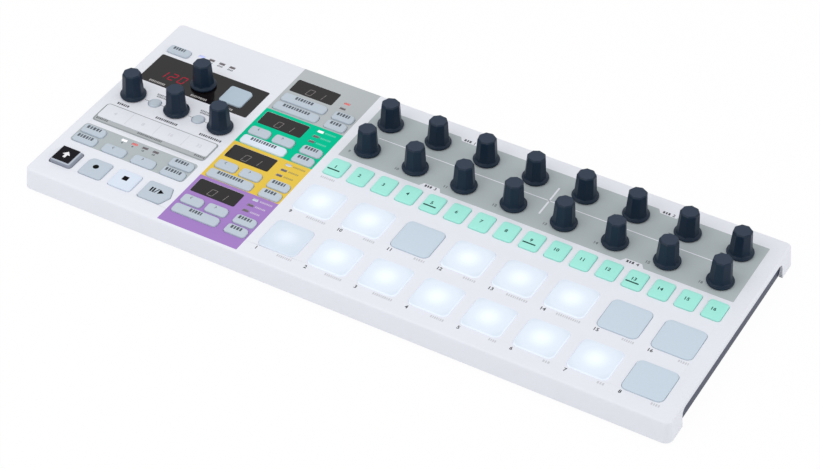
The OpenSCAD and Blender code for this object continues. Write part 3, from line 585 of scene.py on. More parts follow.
# Segments of a digit on a grid one wide and two high, each from its first to its last point
SEGMENTS = {
    "a": ((0, 2), (1, 2)),
    "b": ((1, 1), (1, 2)),
    "c": ((1, 0), (1, 1)),
    "d": ((0, 0), (1, 0)),
    "e": ((0, 0), (0, 1)),
    "f": ((0, 1), (0, 2)),
    "g": ((0, 1), (1, 1)),
}
DIGITS = {"0": "abcdef", "1": "bc", "2": "abged"}


def segments(digit, size, width, at, low, high):
    """Segments of one digit: pointed bars along a grid one cell wide and two high that leans by its slant."""
    shapes = []
    for name in DIGITS[digit]:
        a, b = (np.array(p, float) * (size[0], size[1] / 2) for p in SEGMENTS[name])
        along = (b - a) / np.linalg.norm(b - a)
        across = np.array([-along[1], along[0]]) * width / 2
        a, b = a + along * width * SEGMENT_GAP, b - along * width * SEGMENT_GAP
        tip = along * width / 2
        points = np.array([a - tip, a - across, b - across, b + tip, b + across, a + across])
        points[:, 0] += SLANT * points[:, 1]
        shapes.append(plate(points, at, low, high))
    return shapes


CHEVRON = np.array([(-1, 1), (0.4, 0), (-1, -1), (-0.1, -1), (1.4, 0), (-0.1, 1)]) * (0.28, 0.5)


def chevron(size, at, low, high, way):
    """Angle mark that points along X: to the right, or mirrored, with its order turned round, to the left."""
    return plate((CHEVRON * size * (way, 1))[::way], at, low, high)


# Pieces


def dressed(k, *shapes):
    """Shapes with the number of their finish."""
    return [(*shape, k) for shape in shapes]


def settle(name, mesh, body, replaces=()):
    """Object of a mesh, at the origin, that rides on a body."""
    piece = bpy.data.objects.new(name, mesh)
    bpy.context.scene.collection.objects.link(piece)
    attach(piece, body)
    if replaces:
        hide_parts(*replaces)
    return piece


def smooth(mesh, sharp):
    """Smooth shading, with edges past an angle left sharp."""
    mesh.polygons.foreach_set("use_smooth", np.ones(len(mesh.polygons), bool))
    mesh.set_sharp_from_angle(angle=math.radians(sharp))


def make(name, parts, materials, body, replaces=(), sharp=35.0, uv=None):
    """New piece of closed parts, each with the number of its finish, and a UV map where one is asked for."""
    counts = np.cumsum([0] + [len(co) for co, _, _ in parts])
    points = np.concatenate([co for co, _, _ in parts]) * MM
    faces = [[v + start for v in face] for (_, part, _), start in zip(parts, counts) for face in part]
    mesh = bpy.data.meshes.new(name)
    mesh.from_pydata(points, [], faces)
    for material in materials:
        mesh.materials.append(material)
    mesh.polygons.foreach_set("material_index", [k for _, part, k in parts for _ in part])
    smooth(mesh, sharp)
    if uv is not None:
        layer = mesh.uv_layers.new(name="cell")
        corners = np.empty(len(mesh.loops), np.int32)
        mesh.loops.foreach_get("vertex_index", corners)
        layer.uv.foreach_set("vector", uv(points / MM)[corners].astype(np.float32).ravel())
    if mesh.validate():
        raise RuntimeError(f"{name} has faces that don't hold")
    return settle(name, mesh, body, replaces)


def across(box):
    """UV map that measures from the middle of a box in half spans."""
    return lambda points: (points[:, :2] - middle(box)) / (span(box) / 2)


def paint(node, material):
    """Gives a CAD node that stays in view its finish."""
    mesh = frame["nodes"][node].data
    mesh.materials.clear()
    mesh.materials.append(material)


def cover_copy():
    """Copy of the cover with its loose triangles joined."""
    bm = bmesh.new()
    bm.from_mesh(frame["nodes"]["top_cover"].data)
    bmesh.ops.remove_doubles(bm, verts=bm.verts, dist=0.001 * MM)
    return bm


def cover_mesh(bm, name, material):
    """Mesh of such a copy in one finish."""
    mesh = bpy.data.meshes.new(name)
    bm.to_mesh(mesh)
    bm.free()
    mesh.materials.clear()
    mesh.materials.append(material)
    mesh.polygons.foreach_set("material_index", np.zeros(len(mesh.polygons), np.int32))
    return mesh


def flange_levels():
    """Underside and top of the keys' flanges, below the cover's plate."""
    thick, drop = mm(bpy.context.scene.sequencer_keys, "flange_t", "flange_drop")
    return TOP - drop - thick, TOP - drop


def foot(size, at, base):
    """Foot under a cap: half as wide, from its base up into the flange."""
    return plate(soft_rect(size / 2, FOOT_R, steps=2), at, base, flange_levels()[0] + NUDGE)


def key_parts(box, radii, k=CAP, outline=None, soft=1):
    """Cap, flange and foot of a key that fills a CAD solid's box. The cap takes part of its gap to the cover.

    Soft is the top edge's radius over the keys' usual one.
    """
    lip, edge, crown = mm(bpy.context.scene.sequencer_keys, "flange_lip", "edge_r", "crown")
    at, size, (low, high) = middle(box), span(box) - 2 * lip, flange_levels()
    draw = outline or (lambda inset: soft_rect(size, radii, inset))
    cap = crowned(lambda i: draw(i - KEY_GROWTH), at, high - NUDGE, box[1][2], edge * soft, crown, size)
    return dressed(k, cap, plate(draw(-lip), at, low, high), foot(size, at, box[0][2]))


def mark_levels(box):
    """Heights of a mark on a key: from under its crown to just over its top."""
    top, crown = box[1][2], bpy.context.scene.sequencer_keys.crown / MM
    return top - crown - NUDGE, top + NUDGE


def pad_grid():
    """Middle of the left front pad, the step to the next pad and row, and a pad's size."""
    looks = bpy.context.scene.sequencer_keys
    low, high = node_box("pad_mat")
    lip, *size = mm(looks, "flange_lip", "pad_w", "pad_d")
    first, last = low[:2] + lip + np.array(size) / 2, high[:2] - lip - np.array(size) / 2
    return first, (last - first) / (np.array(PAD_COUNTS) - 1), np.array(size)


# Operators


class SEQUENCER_OT_case(bpy.types.Operator):
    """Smooth copy of the moulded cover, and the finishes of the case's other parts"""

    bl_idname = "sequencer.case"
    bl_label = "Case"

    def execute(self, context):
        looks = context.scene.sequencer_case
        moulded = finish("cover_white", looks.cover, grain=2400, spread=0.012, bump=0.06)
        mesh = cover_mesh(cover_copy(), "cover", moulded)
        smooth(mesh, 30)
        cover = settle("cover", mesh, "case", ["top_cover"])
        weighted = cover.modifiers.new("flat faces stay flat", "WEIGHTED_NORMAL")
        weighted.keep_sharp = True
        coat = finish("pan_coat", looks.pan, rough=0.55, grain=1500, spread=0.06, bump=0.12)
        paint("base_pan", coat)
        paint("rear_panel", coat)
        rubber = finish("foot_rubber", tint(32, 32, 34), rough=0.8, grain=1200, spread=0.1, bump=0.2)
        paint("rubber_feet", rubber)
        steel = finish("screw_steel", tint(168, 168, 172), rough=0.35, grain=900, spread=0.05, metal=1)
        paint("case_fasteners", steel)
        paint("main_board", finish("board_mask", tint(38, 92, 62), rough=0.4, grain=300, spread=0.12))
        metal = finish("encoder_metal", tint(190, 190, 194), rough=0.4, spread=0.05, metal=1)
        paint("encoder_bodies", metal)
        paint("display_modules", finish("module_black", tint(36, 36, 38), rough=0.6, spread=0.08))
        return {"FINISHED"}


class SEQUENCER_OT_panels(bpy.types.Operator):
    """Printed panels: thin films cut from the cover's own top faces, so every opening stays open"""

    bl_idname = "sequencer.panels"
    bl_label = "Printed panels"

    def film(self, name, outline, material, wrap, thick):
        """Top faces of the cover inside a convex outline, lifted by the film's thickness.

        Each side of the outline cuts the faces with an upright plane, and what lies outside falls away. Wrap
        is how far down the rounded edge the film goes.
        """
        bm = cover_copy()
        bm.normal_update()
        floor, least = (TOP - wrap - NUDGE) * MM, SLOPED if wrap else FLAT
        away = [f for f in bm.faces if f.normal.z < least or min(v.co.z for v in f.verts) < floor]
        bmesh.ops.delete(bm, geom=away, context="FACES")
        for a, b in zip(outline * MM, np.roll(outline, -1, 0) * MM):
            bmesh.ops.bisect_plane(
                bm,
                geom=bm.verts[:] + bm.edges[:] + bm.faces[:],
                plane_co=(*a, 0),
                plane_no=(b[1] - a[1], a[0] - b[0], 0),
                clear_outer=True,
            )
        if not bm.faces:
            raise RuntimeError(f"no face of the cover lies inside {name}")
        piece = settle(name, cover_mesh(bm, name, material), "case")
        wall = piece.modifiers.new("film", "SOLIDIFY")
        wall.thickness = thick * MM
        wall.offset = 1

    def execute(self, context):
        looks = context.scene.sequencer_case
        thick, link_r = mm(looks, "print_t", "panel_r")
        # The column's panels meet at the tracks' tops
        left, right = COLUMN_X, COLUMN_X + COLUMN_W
        ends = [COLUMN_END, *COLUMN_TOPS, COVER_HIGH[1]]
        drum, second, first, project = (
            np.array([(right, rear), (left, rear), (left, front), (right, front)])
            for front, rear in zip(ends, ends[1:])
        )
        link = soft_rect(span(LINK_PANEL), link_r, steps=4) + middle(LINK_PANEL)
        knobs = soft_rect(span(KNOB_PANEL), KNOB_PANEL_R, steps=2) + middle(KNOB_PANEL)
        films = (
            ("drum_print", drum, looks.drum_panel, 0),
            ("second_track_print", second, looks.second_panel, 0),
            ("first_track_print", first, looks.first_panel, 0),
            ("project_print", project, looks.project_panel, PROJECT_WRAP),
            ("link_print", link, looks.link_panel, 0),
            ("knob_print", knobs, looks.knob_panel, 0),
        )
        for name, outline, colour, wrap in films:
            self.film(name, outline, finish(name, colour, **FILM), wrap, thick)
        return {"FINISHED"}


class SEQUENCER_OT_knobs(bpy.types.Operator):
    """Twenty knobs, each a round flange that flares into a tapered grip with flats"""

    bl_idname = "sequencer.knobs"
    bl_label = "Knobs"

    def surface(self, at, base, foot_z, turn):
        """Radius as a function of the angle and the height.

        The grip is a cone whose radius is cut back to its flats, by the flats' distance over the cosine of
        the angle from the nearest flat's middle. The flange's profile is a rim, then a hollow quarter curve
        up to the neck. The knob takes the larger of the two, with a soft step between them. Its top is
        chamfered and closes just under a thin face.
        """
        looks = bpy.context.scene.sequencer_knobs
        height, flange, rim_h, rim_r, flare_h = mm(looks, "height", "flange_r", "rim_h", "rim_r", "flare_h")
        grip, grip_top, chamfer, spindle = mm(looks, "grip_r", "grip_top_r", "chamfer", "spindle_r")
        sector = 2 * np.pi / looks.flats
        share = np.cos(sector / 2 - CORNER_ARC)
        theta = np.linspace(0, 2 * np.pi, FLAT_POINTS * looks.flats, endpoint=False)
        off = (theta - turn + sector / 2) % sector - sector / 2
        shape = np.minimum(1 / share, 1 / np.cos(off)) * share
        shoulder = height - chamfer
        rise = np.linspace(0, 1, GRIP_ROWS)
        flare = rim_h + (flare_h - rim_h) * rise[:-1] ** FLARE_EASE
        z = np.concatenate([flare, flare_h + (shoulder - flare_h) * rise])
        cone = grip + (grip_top - grip) * (z - rim_h / 2) / (shoulder - rim_h / 2)
        neck = share * np.interp(flare_h, z, cone) - rim_r / 2
        up = np.clip((z - rim_h) / (flare_h - rim_h), 0, 1)
        hollow = neck + (flange - rim_r - neck) * (1 - np.sqrt(1 - (1 - up) ** 2))
        over, a = z[:, None] > flare_h, cone[:, None] * shape
        b, soft = np.where(over, 0, hollow[:, None]), np.where(over, 0, looks.blend / MM)
        body = (a + b + np.sqrt((a - b) ** 2 + soft**2)) / 2
        body = np.where(over, a, np.minimum(body, hollow[:, None] + FLARE_MOST))
        quarter = np.linspace(0, np.pi / 2, 5)
        rounds = [spindle, spindle, flange - rim_r / 2, *(flange - rim_r + rim_r * np.cos(quarter))]
        heights = [foot_z - base, 0, 0, *(rim_h - rim_r + rim_r * np.sin(quarter)), *z]
        rows = [np.full(len(theta), r) for r in rounds] + list(body)
        rows += [body[-1] - chamfer * s for s in CHAMFER_IN]
        rows += [(body[-1] - chamfer) * s for s in TOP_IN]
        heights += [shoulder + chamfer * s for s in CHAMFER_UP]
        heights += [height - NUDGE] * (1 + len(TOP_IN))
        way, r = np.stack([np.cos(theta), np.sin(theta)], -1), np.array(rows)
        rings = [ring(radii[:, None] * way, at, base + h) for radii, h in zip(r, heights)]
        edge, top = body[-1] - chamfer * FACE_IN, base + height
        # The thin face takes the knobs' paler colour, a painted highlight of the light from above
        face = plate(edge[:, None] * way, at, top - 2 * NUDGE, top)
        return dressed(0, loft(rings)) + dressed(1, face)

    def execute(self, context):
        looks = context.scene.sequencer_knobs
        soft_touch = {"grain": 1600, "spread": 0.05, "bump": 0.08}
        rubber = finish("knob_rubber", looks.rubber, rough=0.4, specular=0.22, **soft_touch)
        # Paler copy of the rubber for the faces, as a painted highlight
        face = finish("knob_face_painted_highlight", looks.top, rough=0.6, specular=0.12, **soft_touch)
        for k, node in enumerate(KNOBS):
            low, high = node_box(node)
            parts = self.surface(joint_axis(node), high[2] - looks.height / MM, low[2], k * looks.turn)
            make(f"{node}_grip", parts, [rubber, face], node, [node], sharp=24)
        return {"FINISHED"}


class SEQUENCER_OT_small_keys(bpy.types.Operator):
    """Function keys of the left section and the coloured column, with plain marks on them"""

    bl_idname = "sequencer.small_keys"
    bl_label = "Small keys"

    def execute(self, context):
        looks = context.scene.sequencer_keys
        materials = [
            finish("key_silicone", looks.silicone, **SILICONE),
            finish("key_ink", tint(88, 93, 100), **KEY_INK),
            lit_finish("lit_key", looks.lit, power=0.07, edge=0.6, corner=0.6, reach=1.2),
            finish("key_arrow", tint(104, 110, 120), rough=0.6, spread=0.06),
        ]
        radii = mm(looks, "big_r", "corner_r", "corner_r", "corner_r")
        for node, marks in KEY_MARKS.items():
            parts, boxes = [], solids(node)
            for k, (box, mark) in enumerate(zip(boxes, marks)):
                at, z = middle(box), mark_levels(box)
                if mark == ROUND:
                    r = (span(box)[0] - 2 * looks.flange_lip / MM) / 2
                    parts += key_parts(box, radii, outline=lambda inset, r=r: circle(r - inset), soft=2)
                    continue
                parts += key_parts(box, radii, LIT if (node, k) == LIT_KEY else CAP)
                if mark in ARROWS:
                    parts += dressed(ARROW, chevron(KEY_ARROW, at + KEY_ARROW_AT, *z, ARROWS[mark]))
                else:
                    parts += dressed(INK, *words(mark, KEY_WORD, at + KEY_WORD_AT, *z))
            wide = max(boxes, key=lambda box: span(box)[0])
            make(f"{node}_caps", parts, materials, node, [node], uv=across(wide))
        return {"FINISHED"}


class SEQUENCER_OT_transport(bpy.types.Operator):
    """Shift, record, stop, play and tap keys"""

    bl_idname = "sequencer.transport"
    bl_label = "Transport keys"

    def execute(self, context):
        looks = context.scene.sequencer_keys
        silicone = finish("transport_silicone", looks.silicone, **SILICONE)
        ink = finish("transport_ink", tint(8, 8, 10), rough=0.6, spread=0.08, specular=0.05)
        lit = lit_finish("stop_glow", looks.lit, power=0.04, edge=0.6, corner=0.6, reach=1.2)
        grey = finish("tap_silicone", looks.tap, **SILICONE)
        corner, big, record, tip, lip = mm(looks, "corner_r", "big_r", "record_r", "play_tip", "flange_lip")

        def build(node, radii, marks, outline=None, material=silicone, box=None):
            """Key of one node, with its marks as outlines round its middle."""
            box = box or node_box(node)
            parts = key_parts(box, radii, CAP, outline)
            parts += dressed(INK, *(plate(points, middle(box), *mark_levels(box)) for points in marks))
            make(f"{node}_cap", parts, [material, ink], node, [node], uv=across(box))

        build("record_key", (corner, record, corner, corner), [circle(RECORD_DOT) + RECORD_AT])
        build("stop_key", corner, [soft_rect((STOP_SIDE, STOP_SIDE), STOP_R) + STOP_AT], material=lit)
        # The play key is as wide as the stop key, with a point past that
        low, high = node_box("play_key")
        stop = span(node_box("stop_key"))
        body = (low, np.array([low[0] + stop[0], high[1], high[2]]))

        def pointed(inset):
            """Rectangle with a point at the middle of its right side."""
            w, d = (stop - 2 * lip) / 2 - inset
            return rounded([(w, d), (-w, d), (-w, -d), (w, -d), (w + tip, 0)], max(corner - inset, LEAST_R))

        strokes = [soft_rect(PLAY_STROKE, PLAY_STROKE_R) + (x, 0) for x in PLAY_STROKES]
        slash = np.array([(-1.3, -1.9), (-0.6, -1.9), (0.8, 1.9), (0.1, 1.9)])
        arrow = np.array([(1.2, -2.1), (4.6, 0), (1.2, 2.1)])
        marks = [shape + PLAY_AT for shape in (*strokes, slash, arrow)]
        build("play_key", corner, marks, outline=pointed, box=body)
        build("tap_key", (big, corner, corner, corner), [], material=grey)
        self.shift(looks, corner, lip)
        return {"FINISHED"}

    def shift(self, looks, corner, lip):
        """Shift key: flanks that slope in from the cover, pale near the top as a painted highlight, to a flat
        black face.

        A level's outline is drawn in by a share of the inset, and its corners are rounded less as it goes.
        """
        box = node_box("shift_key")
        at, size, (low, high) = middle(box), span(box) - 2 * lip, flange_levels()
        top, join = TOP + SHIFT_RISE, 1 - SHIFT_BAND / SHIFT_RISE
        lip_share, lip_drop = SHIFT_LIP

        def level(share, z):
            """Outline at a height, drawn in by a share of the inset."""
            return ring(soft_rect(size - 2 * share * SHIFT_INSET, corner * (1 - share / 2)), at, z)

        flanks = loft([level(0, high - NUDGE), level(SHIFT_DRAFT, TOP), level(join, top - SHIFT_BAND)])
        band = top - SHIFT_BAND - NUDGE
        bevel = loft([level(join, band), level(lip_share, top - lip_drop), level(1, top - NUDGE)])
        face = plate(soft_rect(size - 2 * SHIFT_INSET, SHIFT_FACE_R), at, top - 2 * NUDGE, top)
        flange = plate(soft_rect(size + 2 * lip, corner), at, low, high)
        # Plain arrow that points to the back
        arrow = np.array([(0.9, -2.6), (0.9, 0), (2.6, 0), (0, 2.9), (-2.6, 0), (-0.9, 0), (-0.9, -2.6)])
        mark = plate(arrow, at, top - NUDGE, top + NUDGE)
        parts = dressed(0, flanks, flange, foot(size, at, box[0][2]))
        parts += dressed(3, bevel) + dressed(1, face) + dressed(2, mark)
        # The flanks' darker grey is painted shade and the bevel's paler grey a painted highlight: both are one
        # silicone
        materials = [
            finish("shift_flanks", looks.painted_shade_shift_flank, spread=0.03, specular=0.2),
            finish("shift_top", looks.shift_top, spread=0.1, specular=0.08),
            finish("shift_mark", tint(235, 235, 238)),
            finish("painted_highlight_shift_bevel", looks.painted_highlight_shift_bevel, spread=0.03, specular=0.2),
        ]
        make("shift_key_cap", parts, materials, "shift_key", ["shift_key"])


class SEQUENCER_OT_steps(bpy.types.Operator):
    """Sixteen lit step keys with their numbers, every fourth one underlined"""

    bl_idname = "sequencer.steps"
    bl_label = "Step keys"

    def execute(self, context):
        looks = context.scene.sequencer_keys
        mint = finish("step_mint", looks.step, power=0.06, **SILICONE)
        ink = finish("step_ink", tint(30, 70, 64), **KEY_INK)
        for k, node in enumerate(STEPS):
            box = node_box(node)
            at, z = middle(box), mark_levels(box)
            parts = key_parts(box, looks.corner_r / MM)
            parts += dressed(INK, glyphs(str(k + 1), STEP_FIGURE, at + STEP_FIGURE_AT, *z))
            if k % 4 == 0:
                parts += dressed(INK, bar(*STEP_LINE, at + STEP_LINE_AT, *z))
            make(f"{node}_cap", parts, [mint, ink], node, [node])
        return {"FINISHED"}


class SEQUENCER_OT_pads(bpy.types.Operator):
    """Mat of sixteen pressure pads, some of them lit from below"""

    bl_idname = "sequencer.pads"
    bl_label = "Pads"

    def execute(self, context):
        looks = context.scene.sequencer_keys
        box, (under, over) = node_box("pad_mat"), flange_levels()
        base, top = box[0][2], box[1][2]
        edge, radius = mm(looks, "edge_r", "pad_r")
        first, step, size = pad_grid()

        def outline(inset):
            """A pad seen from above, which takes part of its gap to the cover."""
            return soft_rect(size, radius, inset - KEY_GROWTH)

        parts = []
        for row in (1, 0):
            for k, glow in enumerate(PAD_GLOW[row]):
                at = first + step * (k, row)
                parts += dressed(glow, crowned(outline, at, over - NUDGE, top, edge, PAD_CROWN, size))
                parts += dressed(0, foot(size, at, base))
        parts += dressed(0, plate(soft_rect(span(box), radius), middle(box), under, over))
        materials = [
            finish("pad_dark", looks.pad, grain=900, spread=0.012),
            lit_finish("pad_dim", looks.pad_lit, power=0.25, edge=0.56, corner=0.42),
            lit_finish("pad_lit", looks.pad_lit, power=0.4, edge=0.57, corner=0.42),
        ]

        def cell(points):
            """Half pads from each pad's middle. Its glow comes back down the rounded edge, part real and part
            painted light.
            """
            place = ((points[:, :2] - first + step / 2) % step - step / 2) / (size / 2)
            # Full glow on the rounded edge and the flank, which also paints out the shade there and in the gap to
            # the cover
            rise = np.clip((points[:, 2:] - (top - PAD_CROWN - edge)) / edge, 0, 1)
            return place * rise**2

        make("pads", parts, materials, "pad_mat", ["pad_mat"], uv=cell)
        return {"FINISHED"}


class SEQUENCER_OT_windows(bpy.types.Operator):
    """Dark windows with their digits"""

    bl_idname = "sequencer.windows"
    bl_label = "Display windows"

    def execute(self, context):
        looks = context.scene.sequencer_lights
        polished = {"rough": 0.14, "grain": 700, "spread": 0.06, "bump": 0.01, "specular": 0.3}
        paint("display_windows", finish("window_smoke", looks.window, **polished))
        red = finish("digit_red", looks.digits, specular=0.1, power=0.1)
        dim = finish("digit_dim", looks.dim_digits, spread=0.05)
        pale = finish("window_caption", tint(176, 172, 172), rough=0.6, spread=0.04)
        height, width = mm(looks, "digit_h", "segment")
        tempo = max(WINDOWS, key=lambda box: span(box)[0])
        at = middle(tempo)
        parts = []
        for k, digit in enumerate("120"):
            corner = at + TEMPO_DIGITS + (k * TEMPO_PITCH, 0)
            parts += dressed(0, *segments(digit, (DIGIT_ASPECT * height, height), width, corner, *BARE))
        for x, length in TEMPO_CAPTIONS:
            place = at + (x, -span(tempo)[1] / 2 + TEMPO_WORD_UP)
            parts += dressed(1, *words(length, TEMPO_WORD, place, *BARE))
        make("tempo_digits", parts, [red, pale], "case")
        parts = []
        for box in WINDOWS:
            if box is tempo:
                continue
            for k, digit in enumerate("01"):
                corner = middle(box) + TRACK_DIGITS + (k * TRACK_PITCH, 0)
                parts += dressed(0, *segments(digit, TRACK_DIGIT, width * TRACK_SEGMENT, corner, *BARE))
        make("track_digits", parts, [dim], "case")
        return {"FINISHED"}


class SEQUENCER_OT_lenses(bpy.types.Operator):
    """Indicator lenses with domed tops, lit or dark"""

    bl_idname = "sequencer.lenses"
    bl_label = "Indicators"

    def execute(self, context):
        looks = context.scene.sequencer_lights
        lamps = {
            "dark": (looks.lens_dark, 0.0),
            "white": (looks.lens_white, 0.25),
            "pale": (looks.lens_pale, 0.0),
            "red": (looks.lens_red, 0.1),
            "blue": (looks.lens_blue, 0.2),
        }
        materials = [
            finish(f"lens_{name}", colour, rough=0.3, spread=0.03, power=power)
            for name, (colour, power) in lamps.items()
        ]
        parts = []
        for box in LENSES:
            at, size, base, top = middle(box), span(box), box[0][2], box[1][2] + NUDGE
            lamp = min(LAMPS, key=lambda item: np.hypot(*(np.array(item[0]) - at)))[1]
            dome = crowned(
                lambda inset: soft_rect(size, LENS_R, inset, steps=4),
                at,
                base,
                top,
                LENS_EDGE,
                LENS_CROWN,
                size,
            )
            parts += dressed(list(lamps).index(lamp), dome)
        make("lenses", parts, materials, "case", ["light_pipes"])
        return {"FINISHED"}


class SEQUENCER_OT_strip(bpy.types.Operator):
    """Touch strip: a pale field with faint dividers in a grey outline, over a grey label band"""

    bl_idname = "sequencer.strip"
    bl_label = "Touch strip"

    def execute(self, context):
        box = node_box("touch_strip")
        satin = {"rough": 0.4, "grain": 900, "spread": 0.012, "specular": 0.3}
        paint("touch_strip", finish("strip_white", tint(225, 228, 235), **satin))
        materials = [
            finish("strip_band", tint(176, 181, 184), specular=0.1),
            finish("strip_line", tint(150, 157, 160), spread=0.03, specular=0.1),
            finish("strip_faint", tint(206, 208, 214)),
            finish("strip_ink", tint(96, 100, 104), rough=0.6, spread=0.06),
        ]
        band, line, faint, ink = range(4)
        size, at = span(box), middle(box)
        edge = hoop(soft_rect(size, STRIP_R), soft_rect(size, STRIP_R, STRIP_EDGE), at, *BARE)
        band_at = at + (0, -size[1] / 2 + STRIP_EDGE + STRIP_BAND / 2)
        radii = (STRIP_BAND_R, STRIP_BAND_R, STRIP_R - STRIP_EDGE, STRIP_R - STRIP_EDGE)
        outline = soft_rect((size[0] - 2 * STRIP_EDGE, STRIP_BAND), radii)
        parts = dressed(line, edge) + dressed(band, plate(outline, band_at, TOP - NUDGE, TOP + NUDGE / 2))
        for x, length in STRIP_CAPTIONS:
            parts += dressed(ink, *words(length, STRIP_WORD, band_at + (x, 0), *BARE))
        field = (box[1][2] - NUDGE, box[1][2] + NUDGE)
        deep, quarter = size[1] - 2 * STRIP_EDGE - STRIP_BAND, size[0] / 4
        y = box[1][1] - STRIP_EDGE - deep / 2
        for k in (-1, 0, 1):
            parts += dressed(faint, bar(STRIP_DIVIDER, deep - STRIP_MARGIN, (at[0] + k * quarter, y), *field))
        for k, number in enumerate(DIVISIONS):
            parts += dressed(faint, glyphs(number, STRIP_FIGURE, (at[0] + (k - 1.5) * quarter, y), *field))
        make("strip_prints", parts, materials, "case")
        return {"FINISHED"}


class SEQUENCER_OT_prints(bpy.types.Operator):
    """Lines, tabs, plain numbers and slim bars printed on the cover"""

    bl_idname = "sequencer.prints"
    bl_label = "Prints"

    def execute(self, context):
        case, keys = context.scene.sequencer_case, context.scene.sequencer_keys
        inks = [
            finish("print_white", case.cover, spread=0.012),
            finish("print_dark", keys.legend, rough=0.6, spread=0.08),
            finish("print_grey", tint(112, 118, 122), rough=0.6, spread=0.04, specular=0.1),
            finish("print_faint", tint(200, 201, 208), rough=0.6),
            finish("print_lilac", tint(198, 186, 212), rough=0.6),
            finish("print_brown", tint(162, 150, 96), rough=0.6, spread=0.04, specular=0.1),
            finish("print_green", tint(92, 206, 178), rough=0.6),
        ]
        film = TOP + case.print_t / MM
        inked = (film - NUDGE, film + NUDGE)
        parts = self.knobs(inked, (film, film + 2 * NUDGE)) + self.pads()
        parts += self.left_section(inked) + self.column(inked)
        make("cover_prints", parts, inks, "case")
        return {"FINISHED"}

    def knobs(self, inked, over):
        """White lines and tabs on the knob panel, with the numbers of the four sets and of the knobs."""
        (_, front), (_, rear) = KNOB_PANEL
        centre = (FIELD_X.mean(), FIELD_Y.mean())
        along = bar(FIELD_X[-1] - FIELD_X[0], ROW_LINE, centre, *inked)
        parts = dressed(WHITE, along, bar(SET_LINE, SET_REACH * np.ptp(FIELD_Y), centre, *inked))
        for k, (edge, way) in enumerate(((rear, -1), (front, 1))):
            for j, x in enumerate((FIELD_X[1:3].mean(), FIELD_X[5:7].mean())):
                tab = (TAB * (1, way))[::way]
                parts += dressed(WHITE, plate(tab, (x, edge - TAB_DIP * way), *inked))
                y = edge + SET_Y * way
                parts += dressed(DARK, *words(*SET_WORD, (x + SET_WORD_X, y), *over))
                parts += dressed(DARK, glyphs(str(2 * k + j + 1), SET_FIGURE, (x + SET_FIGURE_X, y), *over))
        for k, at in enumerate(FIELD):
            parts += dressed(GREY, glyphs(str(k + 1), KNOB_FIGURE, at + KNOB_FIGURE_AT, *inked))
        return parts

    def pads(self):
        """Numbers at the pads' left front corners, captions that end at the right, and the steps' caption."""
        first, step, size = pad_grid()
        parts = []
        for row, lengths in enumerate(PAD_CAPTIONS):
            for k, length in enumerate(lengths):
                corner = first - size / 2 + step * (k, row)
                text = str(len(lengths) * row + k + 1)
                start = corner + (PAD_FIGURE_X + FIGURE_HALF * PAD_FIGURE * len(text), PAD_FIGURE_Y)
                parts += dressed(DARK, glyphs(text, PAD_FIGURE, start, *BARE))
                end = corner + (size[0] - length / 2, PAD_WORD_Y)
                parts += dressed(FAINT, *words(length, PAD_WORD, end, *BARE))
        at = middle(node_box(STEPS[0])) + STEP_CAPTION_AT
        return parts + dressed(FAINT, *words(*STEP_CAPTION, at, *BARE))

    def left_section(self, inked):
        """Captions round the left section's keys, knobs and indicators."""
        parts = []
        for at, length in zip(GROOVE, GROOVE_CAPTIONS):
            parts += dressed(DARK, *words(length, GROOVE_WORD, at + (0, GROOVE_WORD_Y), *BARE))
        for a, b in zip(GROOVE, GROOVE[1:]):
            at = (a + b) / 2
            parts += dressed(GREY, bar(b[0] - a[0] - GROOVE_LINE_GAP, GROOVE_LINE, at, *BARE))
            for y, length in ROUND_CAPTIONS:
                parts += dressed(GREY, *words(length, ROUND_WORD, at + (ROUND_WORD_X, y), *BARE))
        for x, y in SYNC_LENSES[1:]:
            parts += dressed(GREY, *words(*SYNC_CAPTION, (x, y - UNDER_LENS), *BARE))
        for (x, y), text in zip(LINK_LENSES, DIVISIONS):
            parts += dressed(DARK, glyphs(text, LINK_FIGURE, (x, y - UNDER_LENS), *inked))
        return parts

    def column(self, inked):
        """Captions beside the column's indicators, in a tone near each panel's own."""
        parts = []
        for top, (lengths, ink) in zip(COLUMN_TOPS, COLUMN_CAPTIONS):
            for k, length in enumerate(lengths):
                x = COLUMN_LENS_X + COLUMN_WORD_X + length / 2
                at = (x, top - COLUMN_LENS_Y - k * COLUMN_LENS_PITCH)
                parts += dressed(ink, *words(length, COLUMN_WORD, at, *inked))
        return parts


class SEQUENCER_OT_sockets(bpy.types.Operator):
    """Rear sockets: moulded bodies with a bright ring round each jack's mouth"""

    bl_idname = "sequencer.sockets"
    bl_label = "Rear sockets"

    def mouth(self, mount):
        """Slim torus, a third as deep as its tube is wide, that lies on a socket's face round its mouth."""
        tube, gap, proud = 0.5, 0.55, 0.1
        t = np.linspace(0, 2 * np.pi, 40, endpoint=False)
        s = np.linspace(0, 2 * np.pi, 12, endpoint=False)[:, None]
        x, y, z = np.array(mount["pos_m"]) / MM
        r = mount["dims"]["r_mm"] + gap + tube * np.cos(s)
        grid = np.stack([x + r * np.cos(t), y + proud + tube / 3 * np.sin(s) + 0 * t, z + r * np.sin(t)], -1)
        return grid.reshape(-1, 3), walls(len(s), len(t)).reshape(-1, 4)[:, ::-1].tolist()

    def execute(self, context):
        moulded = finish("jack_black", tint(42, 42, 45), grain=1400, spread=0.08, bump=0.1)
        paint("jack_sockets", moulded)
        nickel = finish("socket_nickel", tint(196, 196, 200), rough=0.3, grain=900, spread=0.04, metal=1)
        paint("usb_socket", nickel)
        jacks = [mount for mount in frame["record"]["mounts"] if mount["kind"] == "bore"]
        parts = dressed(0, *(self.mouth(mount) for mount in jacks))
        make("jack_rings", parts, [nickel], "case", sharp=80)
        return {"FINISHED"}


